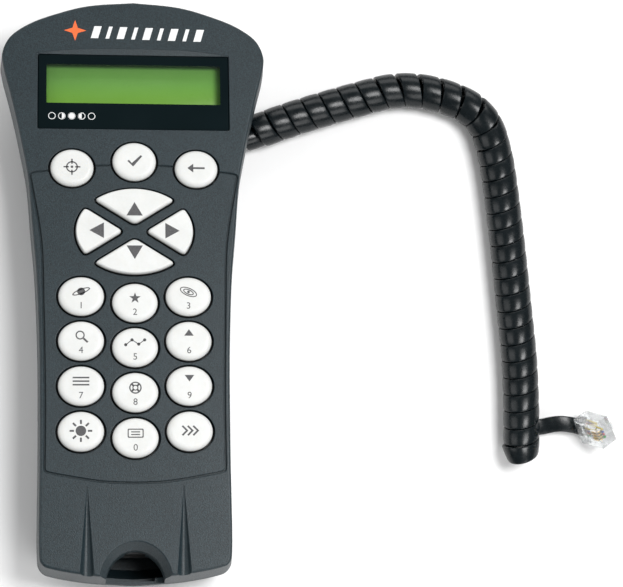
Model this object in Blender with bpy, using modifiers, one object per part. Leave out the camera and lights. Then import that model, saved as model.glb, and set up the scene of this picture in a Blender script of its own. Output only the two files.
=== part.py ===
"""Hand controller for a computerised telescope mount.

A long, waisted plastic case with a wide display head, nineteen keys, a data socket in its lower end and a
coiled cord with a modular plug. It lies on its back: X runs across it, Y towards the display, and Z out of
the key side. The origin is under the middle of the case, on the surface it rests on.
"""

import math

import bmesh
import bpy
from mathutils import Matrix, Vector

NAME = "hand_controller"
GAP = 0.0003
# How far a cutter runs past what it cuts, and how deep a joined-on shape bites into its neighbour
PAST = 0.001
BITE = 0.0008

# Case: two shells that meet at PARTING_Z
FRONT_Z = 0.028
PARTING_Z = 0.016
WALL = 0.002
CEILING_Z = 0.0252
FLOOR_Z = 0.002
FRONT_DRAFT = 0.0007
EDGE_ROUND = 0.0009
OUTLINE_STEPS = 2
# Half of the outline at the parting line, from the top of the head down the +X side to the lower end
OUTLINE = (
    (0, 0.0958),
    (0.0149, 0.0944),
    (0.0247, 0.0917),
    (0.0346, 0.0876),
    (0.0410, 0.0826),
    (0.0435, 0.0767),
    (0.0430, 0.0717),
    (0.0409, 0.0633),
    (0.0386, 0.0537),
    (0.0365, 0.0435),
    (0.0348, 0.0343),
    (0.0333, 0.0176),
    (0.0319, 0.0022),
    (0.0308, -0.0230),
    (0.0305, -0.0540),
    (0.0305, -0.0870),
    (0.0301, -0.0899),
    (0.0286, -0.0918),
    (0.0262, -0.0927),
    (0.0147, -0.0948),
    (0, -0.0958),
)
WIDEST = 5 * OUTLINE_STEPS
LOWER_CORNER = 15 * OUTLINE_STEPS

# Back: a deep belly under the grip that runs on as a narrow spine under the thin, wide head
SPINE_HALF_WIDTH = 0.0243
SPINE_TOP_INSET = 0.0065
SPINE_LOWER_INSET = 0.0090
HEAD_FROM_Y = 0.008
HEAD_TO_Y = 0.034
# Height, and how far towards the spine the head's underside has come there
HEAD_OUTSIDE = (
    (0.01585, 0),
    (0.0142, 0.03),
    (0.0130, 0.15),
    (0.0126, 0.50),
    (0.0122, 0.80),
    (0.0105, 0.93),
    (0.0060, 0.98),
    (0.0012, 1.0),
)
HEAD_INSIDE = (
    (0.01585, 0),
    (0.0152, 0.10),
    (0.0148, 0.50),
    (0.0144, 0.78),
    (0.0120, 0.93),
    (0.0060, 0.98),
    (0.0020, 1.0),
)

# Panel groove around the keys, and the lower end's two flutes and finger notch
PANEL_GROOVE = 0.0005
PANEL_HALF = (
    (0, 0.03865),
    (0.0170, 0.0379),
    (0.0315, 0.0359),
    (0.0326, 0.0345),
    (0.0299, 0.0133),
    (0.0291, -0.0067),
    (0.0284, -0.0391),
    (0.0283, -0.0607),
    (0.0270, -0.0624),
    (0.0140, -0.0647),
    (0, -0.06565),
)
FLUTE_X = 0.0150
FLUTE_TOP_Y = -0.0664
FLUTE_LENGTH = 0.034
FLUTE_RADII = (0.0002, 0.0023)
FLUTE_RISE = 0.00015
NOTCH_Y = -0.0965
NOTCH_HALF = (0.0113, 0.0129)
NOTCH_TAPER = 0.82
NOTCH_DEPTH = 0.004
NOTCH_WALL = 0.0015
NOTCH_WALL_TO_Y = -0.0945
NOTCH_SIDES = 32
SLOT_HALF_WIDTH = 0.0063
SLOT_Y = (-0.0990, -0.0883)
SLOT_Z = 0.010

# Keys
KEY_CROWN_Z = 0.02945
KEY_FLANGE_Z = (0.0241, 0.0249)
KEY_HALF = (0.0072, 0.0063)
WELL_HALF = (0.00775, 0.00675)
FLANGE_HALF = (0.00795, 0.00695)
KEY_SIDES = 18
COLUMN_X = 0.0170
FIRST_ROW_Y = -0.0055
ROW_PITCH = 0.01456
CENTRE_DROP = 0.0021
TOP_KEYS_X = 0.0200
TOP_KEYS_Y = 0.0373
TOP_CENTRE_Y = 0.0396
TOP_KEY_HALF = (0.0069, 0.0062)
TOP_CENTRE_HALF = (0.0070, 0.0064)
KEY_GRID = (
    ("key_1", "key_2", "key_3"),
    ("key_4", "key_5", "key_6"),
    ("key_7", "key_8", "key_9"),
    ("key_light", "key_0", "key_speed"),
)

# Direction pad: an ellipse split by two crossed bars
PAD_Y = 0.0161
PAD_HALF = (0.01875, 0.0142)
PAD_WELL_GROW = 0.0005
PAD_FLANGE_GROW = 0.0007
PAD_BAR_ANGLE = math.radians(32.5)
PAD_BAR_HALF = 0.00197
PAD_CORNER = 0.0012
PAD_ARC_TRIM = 0.08
PAD_ARC_STEPS = 8
PAD_KEYS = ("key_right", "key_up", "key_left", "key_down")

# Display
WINDOW_HALF = (0.0310, 0.0128)
WINDOW_Y = 0.06367
WINDOW_Z = (0.0262, 0.0274)
VIEW_HALF = (0.0298, 0.0083)
VIEW_Y = 0.0665
BEZEL_HALF = (0.0315, 0.0110)
BEZEL_Z = (0.0203, 0.0249)
BEZEL_WALL = 0.0005
BEZEL_OPENING_HALF = (0.0290, 0.0074)
GLASS_HALF = (0.0300, 0.0098)
GLASS_Z = (0.0225, 0.0241)
BACKLIGHT_Z = (0.0203, 0.0222)
DISPLAY_BOARD_HALF = (0.0352, 0.01465)
DISPLAY_BOARD_Y = 0.06565
DISPLAY_BOARD_Z = (0.0184, 0.0200)
DISPLAY_SCREWS = ((0.0334, 0.0530), (0.0334, 0.0780))
DISPLAY_POST_RADIUS = 0.0018
HEADER_HALF_WIDTH = 0.020
HEADER_Y = (0.0515, 0.0545)
HEADER_DEPTH = 0.0025

# Boards and what they carry
BOARD_HALF_WIDTH = 0.0266
BOARD_Y = (-0.0820, 0.0485)
BOARD_Z = (0.0201, 0.0217)
BOARD_SCREWS = ((0.0220, -0.0625), (0.0115, 0.0458))
BOARD_POST_RADIUS = 0.0023
# Name, x range, y range, depth under the board and colour
BOARD_PARTS = (
    ("processor_chip", (-0.012, 0.002), (-0.030, -0.016), 0.0016, (0.02, 0.02, 0.02)),
    ("memory_chip", (0.008, 0.016), (-0.028, -0.018), 0.0016, (0.02, 0.02, 0.02)),
    ("cord_header", (0.006, 0.016), (0.030, 0.036), 0.0050, (0.75, 0.72, 0.62)),
)
MAT_HALF_WIDTH = 0.0260
MAT_Y = (-0.0575, 0.0470)
MAT_Z = (0.0220, 0.0228)

# Case screws, driven from the back up into the front shell
CASE_SCREWS = ((0.0175, -0.0765), (0.0205, 0.0268), (0.0100, 0.0836))
REAR_BOSS_RADIUS = 0.0030
BOSS_CLEARANCE = 0.0004
FRONT_BOSS_RADIUS = 0.0026
COUNTERBORE_RADIUS = 0.0024
COUNTERBORE_Z = 0.0102
SCREW_RADIUS = 0.0012
SCREW_HEAD_RADIUS = 0.0020
SCREW_HEAD_DEPTH = 0.0014
SCREW_HOLE_RADIUS = 0.0015
SMALL_SCREW = 0.8
CASE_SCREW_TIP_Z = 0.0222
SCREW_TIP_Z = 0.0246
PILOT_Z = 0.0250
SCREW_SIDES = 8

# Data socket in the lower end
JACK_HALF_WIDTH = 0.0075
JACK_Y = (-0.0863, -0.0715)
JACK_Z = (0.0096, 0.0198)
SOCKET_HALF_WIDTH = 0.0049
SOCKET_Z = (0.0114, 0.0182)
SOCKET_DEPTH = 0.012

# Cord: a boot in the spine's +X side, the coil along the surface, then a flat tail to the plug
CORD_Z = 0.0061
BOOT_Y = 0.0555
BOOT_LENGTH = 0.0108
BOOT_END_GAP = 0.0009
BOOT_NECK_RADIUS = 0.0025
BOOT_HOLE_RADIUS = 0.0029
BOOT_FLANGE_RADIUS = 0.0035
COIL_RADIUS = 0.0060
COIL_START_X = 0.0318
COIL_ROUTE = (
    (COIL_START_X, BOOT_Y),
    (0.0354, 0.0558),
    (0.0398, 0.0573),
    (0.0514, 0.0619),
    (0.0645, 0.0664),
    (0.0773, 0.0704),
    (0.0880, 0.0733),
    (0.0954, 0.0738),
    (0.1023, 0.0729),
    (0.1095, 0.0707),
    (0.1150, 0.0679),
    (0.1190, 0.0640),
    (0.1215, 0.0592),
    (0.1229, 0.0535),
    (0.1240, 0.0467),
    (0.1259, 0.0229),
    (0.1272, -0.0008),
    (0.1282, -0.0235),
    (0.1276, -0.0462),
    (0.1267, -0.0568),
)
COIL_STEP = 0.006
TAIL_RADIUS = 0.0011
TAIL_STEP = 0.0025
TAIL_ROUTE = (
    (0.1333, -0.0431, 0.0024),
    (0.1360, -0.0426, 0.0027),
    (0.1390, -0.0421, 0.0035),
    (0.1420, -0.0420, 0.0040),
    (0.1450, -0.0423, 0.0036),
    (0.1468, -0.0425, 0.0029),
    (0.1482, -0.0427, 0.0026),
)
INNER_ROUTE = (
    (0.0197, BOOT_Y, CORD_Z),
    (0.0160, 0.0545, 0.0062),
    (0.0115, 0.0480, 0.0080),
    (0.0105, 0.0400, 0.0088),
    (0.0110, 0.0340, 0.0104),
    (0.0110, 0.0330, 0.0142),
)

# Modular plug: the stiff cord's end stands it on a rear corner, nose up, with its contacts to the side
PLUG_AT = (0.1495, -0.0429, 0.0034)
PLUG_TURN = math.radians(-40)
PLUG_PITCH = math.radians(-57)
PLUG_ROLL = math.radians(73)
PLUG_LENGTH = 0.0115
PLUG_HALF_WIDTH = 0.0047
PLUG_HALF_HEIGHT = 0.0031
PLUG_CONTACTS = 4
CONTACT_PITCH = 0.00102
CONTACT_SIZE = (0.0030, 0.0004, 0.0022)
CONTACT_X = 0.0075
LATCH_SIZE = (0.0092, 0.0032, 0.0007)
LATCH_ROOT = (0.0010, 0.00075)
LATCH_OPEN = math.radians(10)


def clear_scene():
    for thing in list(bpy.data.objects):
        bpy.data.objects.remove(thing)


def make_collection(name):
    collection = bpy.data.collections.new(name)
    bpy.context.scene.collection.children.link(collection)
    return collection


def make_material(name, colour, roughness, metallic=0.0, alpha=1.0):
    material = bpy.data.materials.new(name)
    material.use_nodes = True
    shader = material.node_tree.nodes["Principled BSDF"]
    shader.inputs["Base Color"].default_value = (*colour, 1.0)
    shader.inputs["Roughness"].default_value = roughness
    shader.inputs["Metallic"].default_value = metallic
    shader.inputs["Alpha"].default_value = alpha
    return material


def add_part(name, mesh, colour, roughness, metallic=0.0, alpha=1.0):
    """A named sub-part in the object's collection, with a material of its own."""
    part = bpy.data.objects.new(name, mesh)
    part.data.materials.clear()
    part.data.materials.append(make_material(name, colour, roughness, metallic, alpha))
    PARTS.objects.link(part)
    return part


def add_cutter(name, mesh):
    cutter = bpy.data.objects.new(name, mesh)
    cutter.hide_render = True
    cutter.display_type = "WIRE"
    CUTTERS.objects.link(cutter)
    return cutter


def boolean(part, mesh, operation="DIFFERENCE"):
    """Cuts the mesh out of the part, or joins it on."""
    cutter = add_cutter(f"{part.name}_{operation.lower()}_{len(part.modifiers)}", mesh)
    modifier = part.modifiers.new(cutter.name, "BOOLEAN")
    modifier.operation = operation
    modifier.object = cutter


def finish_mesh(name, bm):
    """A mesh from bm, with its faces pointing out and its flat faces kept sharp."""
    bmesh.ops.recalc_face_normals(bm, faces=bm.faces)
    if bm.calc_volume(signed=True) < 0:
        bmesh.ops.reverse_faces(bm, faces=bm.faces)
    mesh = bpy.data.meshes.new(name)
    bm.to_mesh(mesh)
    bm.free()
    mesh.shade_smooth()
    mesh.set_sharp_from_angle(angle=math.radians(35))
    return mesh


def box_mesh(name, low, high):
    bm = bmesh.new()
    bmesh.ops.create_cube(bm, size=1.0)
    size = Vector(high) - Vector(low)
    middle = (Vector(high) + Vector(low)) / 2
    bmesh.ops.transform(bm, matrix=Matrix.Translation(middle) @ Matrix.Diagonal((*size, 1)), verts=bm.verts)
    return finish_mesh(name, bm)


def cylinders_mesh(name, places, sides=SCREW_SIDES):
    """Separate upright cylinders or cones: (x, y, low z, high z, half sizes on top, share of them below)."""
    bm = bmesh.new()
    for x, y, low, high, half, taper in places:
        made = bmesh.ops.create_cone(
            bm, cap_ends=True, segments=sides, radius1=taper, radius2=1.0, depth=1.0
        )
        size = Matrix.Diagonal((half[0], half[1], high - low, 1))
        matrix = Matrix.Translation((x, y, (low + high) / 2)) @ size
        bmesh.ops.transform(bm, matrix=matrix, verts=made["verts"])
    return finish_mesh(name, bm)


def loft_mesh(name, rings):
    """A closed surface through rings of points, each (x, y, z), with equal counts, and flat at both ends."""
    bm = bmesh.new()
    rows = [[bm.verts.new(point) for point in ring] for ring in rings]
    count = len(rows[0])
    for lower, upper in zip(rows, rows[1:]):
        for i in range(count):
            j = (i + 1) % count
            bm.faces.new((lower[i], lower[j], upper[j], upper[i]))
    bm.faces.new(rows[0])
    bm.faces.new(rows[-1])
    return finish_mesh(name, bm)


def ring_mesh(name, outer, inner, low, high):
    """A closed band between two outlines, from height low to height high."""
    bm = bmesh.new()
    corners = ((outer, low), (outer, high), (inner, high), (inner, low))
    rows = [[bm.verts.new((*p, z)) for p in line] for line, z in corners]
    count = len(outer)
    for k in range(4):
        first, second = rows[k], rows[(k + 1) % 4]
        for i in range(count):
            j = (i + 1) % count
            bm.faces.new((first[i], first[j], second[j], second[i]))
    return finish_mesh(name, bm)


def at_height(outline, z):
    return [(x, y, z) for x, y in outline]


def curve_through(points, steps):
    """Points along a smooth curve through the given ones, a centripetal Catmull-Rom spline."""
    points = [Vector(p) for p in points]
    ends = [2 * points[0] - points[1], *points, 2 * points[-1] - points[-2]]
    line = []
    for k in range(len(points) - 1):
        corners = ends[k : k + 4]
        knots = [0.0]
        for a, b in zip(corners, corners[1:]):
            knots.append(knots[-1] + math.sqrt((b - a).length))
        for s in range(steps):
            t = knots[1] + (knots[2] - knots[1]) * s / steps
            blend = list(corners)
            for width in (1, 2, 2):
                spans = [(i, i + width) for i in range(len(blend) - 1)]
                if len(blend) == 2:
                    spans = [(1, 2)]
                blend = [
                    (blend[i] * (knots[hi] - t) + blend[i + 1] * (t - knots[lo])) / (knots[hi] - knots[lo])
                    for i, (lo, hi) in enumerate(spans)
                ]
            line.append(blend[0])
    return [*line, points[-1]]


def evenly_spaced(line, step):
    """Points about a step apart along a polyline, both ends kept."""
    lengths = [0.0]
    for a, b in zip(line, line[1:]):
        lengths.append(lengths[-1] + (b - a).length)
    count = max(2, round(lengths[-1] / step))
    found = []
    k = 0
    for i in range(count + 1):
        want = lengths[-1] * i / count
        while k < len(line) - 2 and lengths[k + 1] < want:
            k += 1
        share = (want - lengths[k]) / (lengths[k + 1] - lengths[k])
        found.append(line[k].lerp(line[k + 1], share))
    return found


def mirrored(half):
    """A closed outline from its +X half, which starts and ends on the centre line."""
    return [*half, *[(-x, y) for x, y in reversed(half[1:-1])]]


def grown(outline, distance):
    """The outline moved outwards by a distance, or inwards by a negative one. It runs clockwise."""
    moved = []
    count = len(outline)
    for i in range(count):
        before, here, after = (Vector(outline[k % count]) for k in (i - 1, i, i + 1))
        first, second = (here - before).normalized(), (after - here).normalized()
        normal = Vector((-first.y - second.y, first.x + second.x)).normalized()
        stretch = max(0.5, normal.dot(Vector((-second.y, second.x))))
        moved.append(tuple(here + normal * distance / stretch))
    return moved


def smoothstep(low, high, value):
    t = min(1.0, max(0.0, (value - low) / (high - low)))
    return t * t * (3 - 2 * t)


def case_outline():
    return [tuple(p) for p in curve_through(OUTLINE, OUTLINE_STEPS)]


def spine_outline(half):
    """Where each point of the half outline comes down to on the flat back."""
    widest, corner = half[WIDEST][0], half[LOWER_CORNER][0]
    spine = []
    for k, (x, y) in enumerate(half):
        reach = widest if k < WIDEST else corner if k > LOWER_CORNER else x
        top = SPINE_TOP_INSET * smoothstep(0.055, 0.0958, y)
        lower = SPINE_LOWER_INSET * smoothstep(0.080, 0.0958, -y)
        spine.append((x * SPINE_HALF_WIDTH / reach, y - top + lower))
    return spine


def rear_ring(half, spine, z, head_share, inset):
    """The back's outline at one height: a round belly under the grip, a flat underside beside the spine."""
    drop = (PARTING_Z - z) / PARTING_Z
    belly_share = 1 - math.sqrt(max(0.0, 1 - drop**2))
    ring = []
    for (x, y), (sx, sy) in zip(half, spine):
        share = belly_share + (head_share - belly_share) * smoothstep(HEAD_FROM_Y, HEAD_TO_Y, y)
        ring.append((x + (sx - x) * share, y + (sy - y) * share))
    return at_height(grown(mirrored(ring), -inset), z)


def both_sides(places):
    return [(side * x, y) for x, y in places for side in (1, -1)]


def bosses(places, low, high, radius):
    return [(x, y, low, high, (radius, radius), 1.0) for x, y in both_sides(places)]


def pad_segment(index, grow):
    """One quarter of the split ellipse, clockwise, with rounded corners: 0 faces +X and 1 faces +Y."""
    middle = index * math.pi / 2
    spread = PAD_BAR_ANGLE if index % 2 == 0 else math.pi / 2 - PAD_BAR_ANGLE
    apex = Vector((math.cos(middle), math.sin(middle))) * PAD_BAR_HALF / math.sin(spread)
    corners = []
    for side in (1, -1):
        run = Vector((math.cos(middle + side * spread), math.sin(middle + side * spread)))
        a = (run.x / PAD_HALF[0]) ** 2 + (run.y / PAD_HALF[1]) ** 2
        b = 2 * (apex.x * run.x / PAD_HALF[0] ** 2 + apex.y * run.y / PAD_HALF[1] ** 2)
        c = (apex.x / PAD_HALF[0]) ** 2 + (apex.y / PAD_HALF[1]) ** 2 - 1
        corners.append(apex + run * (-b + math.sqrt(b * b - 4 * a * c)) / (2 * a))
    start, end = (math.atan2(p.y / PAD_HALF[1], p.x / PAD_HALF[0]) for p in corners)
    if start < end:
        start += 2 * math.pi
    first, span = start - PAD_ARC_TRIM, end - start + 2 * PAD_ARC_TRIM
    sweep = [first + span * k / PAD_ARC_STEPS for k in range(PAD_ARC_STEPS + 1)]
    outline = [Vector((PAD_HALF[0] * math.cos(t), PAD_HALF[1] * math.sin(t))) for t in sweep]
    rounded = []
    rounded += arc_corner(outline[-1], corners[1], apex)
    rounded += arc_corner(corners[1], apex, corners[0])
    rounded += arc_corner(apex, corners[0], outline[0])
    points = [*outline, *rounded]
    return [(x, y + PAD_Y) for x, y in grown([tuple(p) for p in points], grow)]


def arc_corner(before, corner, after):
    """Three points that round a corner off."""
    first = corner + (before - corner).normalized() * min(PAD_CORNER, (before - corner).length * 0.7)
    last = corner + (after - corner).normalized() * min(PAD_CORNER, (after - corner).length * 0.7)
    middle = 0.25 * first + 0.5 * corner + 0.25 * last
    return [first, middle, last]


def front_shell():
    half = case_outline()
    outline = mirrored(half)
    rings = [
        at_height(grown(outline, -WALL - FRONT_DRAFT), CEILING_Z),
        at_height(grown(outline, -WALL), PARTING_Z + GAP / 2),
        at_height(outline, PARTING_Z + GAP / 2),
        at_height(grown(outline, -FRONT_DRAFT), FRONT_Z - EDGE_ROUND),
        at_height(grown(outline, -FRONT_DRAFT - EDGE_ROUND * 0.3), FRONT_Z - EDGE_ROUND * 0.3),
        at_height(grown(outline, -FRONT_DRAFT - EDGE_ROUND), FRONT_Z),
    ]
    shell = add_part("front_shell", loft_mesh("front_shell", rings), (0.045, 0.049, 0.055), 0.55)

    bosses_low = PARTING_Z + GAP / 2
    into_plate = CEILING_Z + BITE
    stems = bosses(CASE_SCREWS, bosses_low, into_plate, FRONT_BOSS_RADIUS)
    boolean(shell, cylinders_mesh("bosses", stems), "UNION")
    posts = bosses(BOARD_SCREWS, BOARD_Z[1] + GAP, into_plate, BOARD_POST_RADIUS)
    posts += bosses(DISPLAY_SCREWS, DISPLAY_BOARD_Z[1] + GAP, into_plate, DISPLAY_POST_RADIUS)
    boolean(shell, cylinders_mesh("posts", posts), "UNION")
    pilots = bosses(CASE_SCREWS, PARTING_Z - PAST, CASE_SCREW_TIP_Z + PAST, SCREW_HOLE_RADIUS)
    pilots += bosses(BOARD_SCREWS, BOARD_Z[0], PILOT_Z, SCREW_HOLE_RADIUS)
    pilots += bosses(DISPLAY_SCREWS, DISPLAY_BOARD_Z[0], PILOT_Z, SCREW_HOLE_RADIUS * SMALL_SCREW)
    boolean(shell, cylinders_mesh("pilots", pilots))

    above, below = FRONT_Z + PAST, CEILING_Z - PAST
    wells = [(x, y, below, above, well_half(half_size), 1.0) for _, x, y, half_size in round_keys()]
    boolean(shell, cylinders_mesh("wells", wells, KEY_SIDES))
    for index in range(4):
        outline = pad_segment(index, PAD_WELL_GROW)
        boolean(shell, loft_mesh("pad_well", [at_height(outline, below), at_height(outline, above)]))

    hx, hy = WINDOW_HALF[0] + GAP / 2, WINDOW_HALF[1] + GAP / 2
    recess_low, recess_high = (-hx, WINDOW_Y - hy, WINDOW_Z[0] - GAP), (hx, WINDOW_Y + hy, above)
    boolean(shell, box_mesh("recess", recess_low, recess_high))
    vx, vy = VIEW_HALF
    boolean(shell, box_mesh("view", (-vx, VIEW_Y - vy, below), (vx, VIEW_Y + vy, above)))

    panel = mirrored([tuple(p) for p in PANEL_HALF])
    groove = ring_mesh("groove", panel, grown(panel, -PANEL_GROOVE), FRONT_Z - PANEL_GROOVE, above)
    boolean(shell, groove)
    boolean(shell, flutes_mesh())
    notch = [
        (0, NOTCH_Y, FRONT_Z - NOTCH_DEPTH, FRONT_Z + 0.0001, NOTCH_HALF, NOTCH_TAPER),
    ]
    throat = (NOTCH_HALF[0] * NOTCH_TAPER, NOTCH_HALF[1] * NOTCH_TAPER)
    boolean(shell, notch_wall(throat, bosses_low, into_plate), "UNION")
    boolean(shell, cylinders_mesh("notch", notch, NOTCH_SIDES))
    opening = [(0, NOTCH_Y, PARTING_Z - PAST, FRONT_Z - PAST, throat, 1.0)]
    boolean(shell, cylinders_mesh("throat", opening, NOTCH_SIDES))
    jx, jy = JACK_HALF_WIDTH + GAP, JACK_Y[0] - GAP
    boolean(shell, box_mesh("jack_room", (-jx, jy, PARTING_Z - PAST), (jx, JACK_Y[1], BOARD_Z[0])))


def notch_wall(throat, low, high):
    """The wall round the notch's throat, which ends inside the case's lower end wall."""
    ax, ay = throat[0] + NOTCH_WALL, throat[1] + NOTCH_WALL
    reach = math.acos((NOTCH_WALL_TO_Y - NOTCH_Y) / ay)
    turns = [reach * (2 * k / NOTCH_SIDES - 1) for k in range(NOTCH_SIDES + 1)]
    outline = [(ax * math.sin(t), NOTCH_Y + ay * math.cos(t)) for t in turns]
    return loft_mesh("notch_wall", [at_height(outline, low), at_height(outline, high)])


def flutes_mesh():
    """Two half-round grooves that deepen towards the lower end."""
    bm = bmesh.new()
    tip, end = FLUTE_RADII
    for side in (1, -1):
        made = bmesh.ops.create_cone(
            bm, cap_ends=True, segments=15, radius1=end, radius2=tip, depth=FLUTE_LENGTH
        )
        middle = (side * FLUTE_X, FLUTE_TOP_Y - FLUTE_LENGTH / 2, FRONT_Z + FLUTE_RISE)
        matrix = Matrix.Translation(middle) @ Matrix.Rotation(-math.pi / 2, 4, "X")
        bmesh.ops.transform(bm, matrix=matrix, verts=made["verts"])
    return finish_mesh("flutes", bm)


def rear_shell():
    half = case_outline()
    spine = spine_outline(half)
    rings = [rear_ring(half, spine, z, share, WALL) for z, share in reversed(HEAD_INSIDE)]
    rings += [rear_ring(half, spine, z, share, 0) for z, share in HEAD_OUTSIDE]
    rings.append(rear_ring(half, spine, 0.0, 1.0, 0.0004))
    shell = add_part("rear_shell", loft_mesh("rear_shell", rings), (0.040, 0.043, 0.048), 0.6)
    top = PARTING_Z - GAP
    stems = bosses(CASE_SCREWS, FLOOR_Z - BITE, top, REAR_BOSS_RADIUS)
    boolean(shell, cylinders_mesh("bosses", stems), "UNION")
    bores = bosses(CASE_SCREWS, -PAST, COUNTERBORE_Z, COUNTERBORE_RADIUS)
    boolean(shell, cylinders_mesh("bores", bores))
    holes = bosses(CASE_SCREWS, COUNTERBORE_Z - PAST, PARTING_Z + PAST, SCREW_HOLE_RADIUS)
    boolean(shell, cylinders_mesh("holes", holes))
    low, high = (-SLOT_HALF_WIDTH, SLOT_Y[0], SLOT_Z), (SLOT_HALF_WIDTH, SLOT_Y[1], PARTING_Z + PAST)
    boolean(shell, box_mesh("slot", low, high))
    bm = bmesh.new()
    radius = BOOT_HOLE_RADIUS
    bmesh.ops.create_cone(bm, cap_ends=True, segments=20, radius1=radius, radius2=radius, depth=0.008)
    across = Matrix.Translation((SPINE_HALF_WIDTH, BOOT_Y, CORD_Z)) @ Matrix.Rotation(math.pi / 2, 4, "Y")
    bmesh.ops.transform(bm, matrix=across, verts=bm.verts)
    boolean(shell, finish_mesh("cord_hole", bm))


def round_keys():
    """(name, x, y, half size) of the fifteen elliptical keys."""
    keys = [
        ("key_top_left", -TOP_KEYS_X, TOP_KEYS_Y, TOP_KEY_HALF),
        ("key_top_centre", 0.0, TOP_CENTRE_Y, TOP_CENTRE_HALF),
        ("key_top_right", TOP_KEYS_X, TOP_KEYS_Y, TOP_KEY_HALF),
    ]
    for row, names in enumerate(KEY_GRID):
        for column, name in enumerate(names):
            y = FIRST_ROW_Y - row * ROW_PITCH - (CENTRE_DROP if column == 1 else 0)
            keys.append((name, (column - 1) * COLUMN_X, y, KEY_HALF))
    return keys


def well_half(half):
    return (half[0] + WELL_HALF[0] - KEY_HALF[0], half[1] + WELL_HALF[1] - KEY_HALF[1])


def key_mesh():
    """The profile of a round key of unit radius, top to bottom, for a Screw modifier."""
    flange = FLANGE_HALF[0] / KEY_HALF[0]
    profile = (
        (0, KEY_CROWN_Z),
        (0.62, KEY_CROWN_Z - 0.00022),
        (0.90, KEY_CROWN_Z - 0.00060),
        (1.0, KEY_CROWN_Z - 0.00135),
        (1.0, KEY_FLANGE_Z[1]),
        (flange, KEY_FLANGE_Z[1]),
        (flange, KEY_FLANGE_Z[0]),
        (0, KEY_FLANGE_Z[0]),
    )
    mesh = bpy.data.meshes.new("round_key")
    mesh.from_pydata([(x, 0, z) for x, z in profile], [(k, k + 1) for k in range(len(profile) - 1)], [])
    return mesh


def add_screw_modifier(part, sides):
    screw = part.modifiers.new("turned", "SCREW")
    screw.steps = sides
    screw.render_steps = sides
    screw.use_merge_vertices = True
    screw.merge_threshold = 0.00001
    screw.use_smooth_shade = True


def keys():
    white = (0.82, 0.82, 0.79)
    for name, x, y, half in round_keys():
        key = add_part(name, key_mesh(), white, 0.45)
        key.location = (x, y, 0)
        key.scale = (half[0], half[1], 1)
        add_screw_modifier(key, KEY_SIDES)
    for index, name in enumerate(PAD_KEYS):
        rings = [
            at_height(pad_segment(index, PAD_FLANGE_GROW), KEY_FLANGE_Z[0]),
            at_height(pad_segment(index, PAD_FLANGE_GROW), KEY_FLANGE_Z[1]),
            at_height(pad_segment(index, 0.0), KEY_FLANGE_Z[1]),
            at_height(pad_segment(index, 0.0), KEY_CROWN_Z - 0.0012),
            at_height(pad_segment(index, -0.0002), KEY_CROWN_Z - 0.0004),
            at_height(pad_segment(index, -0.0004), KEY_CROWN_Z),
        ]
        add_part(name, loft_mesh(name, rings), white, 0.45)


def keypad_mat():
    low, high = (-MAT_HALF_WIDTH, MAT_Y[0], MAT_Z[0]), (MAT_HALF_WIDTH, MAT_Y[1], MAT_Z[1])
    mat = add_part("keypad_mat", box_mesh("keypad_mat", low, high), (0.75, 0.75, 0.72), 0.6)
    through = (MAT_Z[0] - PAST, MAT_Z[1] + PAST)
    holes = bosses(CASE_SCREWS[1:2], *through, FRONT_BOSS_RADIUS + BOSS_CLEARANCE)
    holes += bosses(BOARD_SCREWS[1:], *through, BOARD_POST_RADIUS + BOSS_CLEARANCE)
    boolean(mat, cylinders_mesh("mat_holes", holes))


def display():
    hx, hy = WINDOW_HALF
    window = box_mesh("display_window", (-hx, WINDOW_Y - hy, WINDOW_Z[0]), (hx, WINDOW_Y + hy, WINDOW_Z[1]))
    add_part("display_window", window, (0.01, 0.01, 0.012), 0.08)

    bx, by = BEZEL_HALF
    bezel = box_mesh("display_bezel", (-bx, VIEW_Y - by, BEZEL_Z[0]), (bx, VIEW_Y + by, BEZEL_Z[1]))
    bezel = add_part("display_bezel", bezel, (0.02, 0.02, 0.02), 0.5, 0.6)
    ix, iy = bx - BEZEL_WALL, by - BEZEL_WALL
    low, high = (-ix, VIEW_Y - iy, BEZEL_Z[0] - PAST), (ix, VIEW_Y + iy, BEZEL_Z[1] - BEZEL_WALL)
    boolean(bezel, box_mesh("bezel_inside", low, high))
    ox, oy = BEZEL_OPENING_HALF
    low, high = (-ox, VIEW_Y - oy, BEZEL_Z[0]), (ox, VIEW_Y + oy, BEZEL_Z[1] + PAST)
    boolean(bezel, box_mesh("bezel_opening", low, high))

    gx, gy = GLASS_HALF
    glass = box_mesh("display_glass", (-gx, VIEW_Y - gy, GLASS_Z[0]), (gx, VIEW_Y + gy, GLASS_Z[1]))
    add_part("display_glass", glass, (0.20, 0.42, 0.07), 0.25)
    low, high = (-gx, VIEW_Y - gy, BACKLIGHT_Z[0]), (gx, VIEW_Y + gy, BACKLIGHT_Z[1])
    light = box_mesh("display_backlight", low, high)
    add_part("display_backlight", light, (0.85, 0.88, 0.80), 0.4)

    dx, dy = DISPLAY_BOARD_HALF
    low = (-dx, DISPLAY_BOARD_Y - dy, DISPLAY_BOARD_Z[0])
    high = (dx, DISPLAY_BOARD_Y + dy, DISPLAY_BOARD_Z[1])
    board = add_part("display_board", box_mesh("display_board", low, high), (0.02, 0.16, 0.06), 0.45)
    holes = bosses(DISPLAY_SCREWS, low[2] - PAST, high[2] + PAST, SCREW_HOLE_RADIUS)
    boolean(board, cylinders_mesh("display_board_holes", holes))
    top = DISPLAY_BOARD_Z[0] - GAP
    low, high = (-HEADER_HALF_WIDTH, HEADER_Y[0], top - HEADER_DEPTH), (HEADER_HALF_WIDTH, HEADER_Y[1], top)
    add_part("display_header", box_mesh("display_header", low, high), (0.02, 0.02, 0.02), 0.5)


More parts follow.
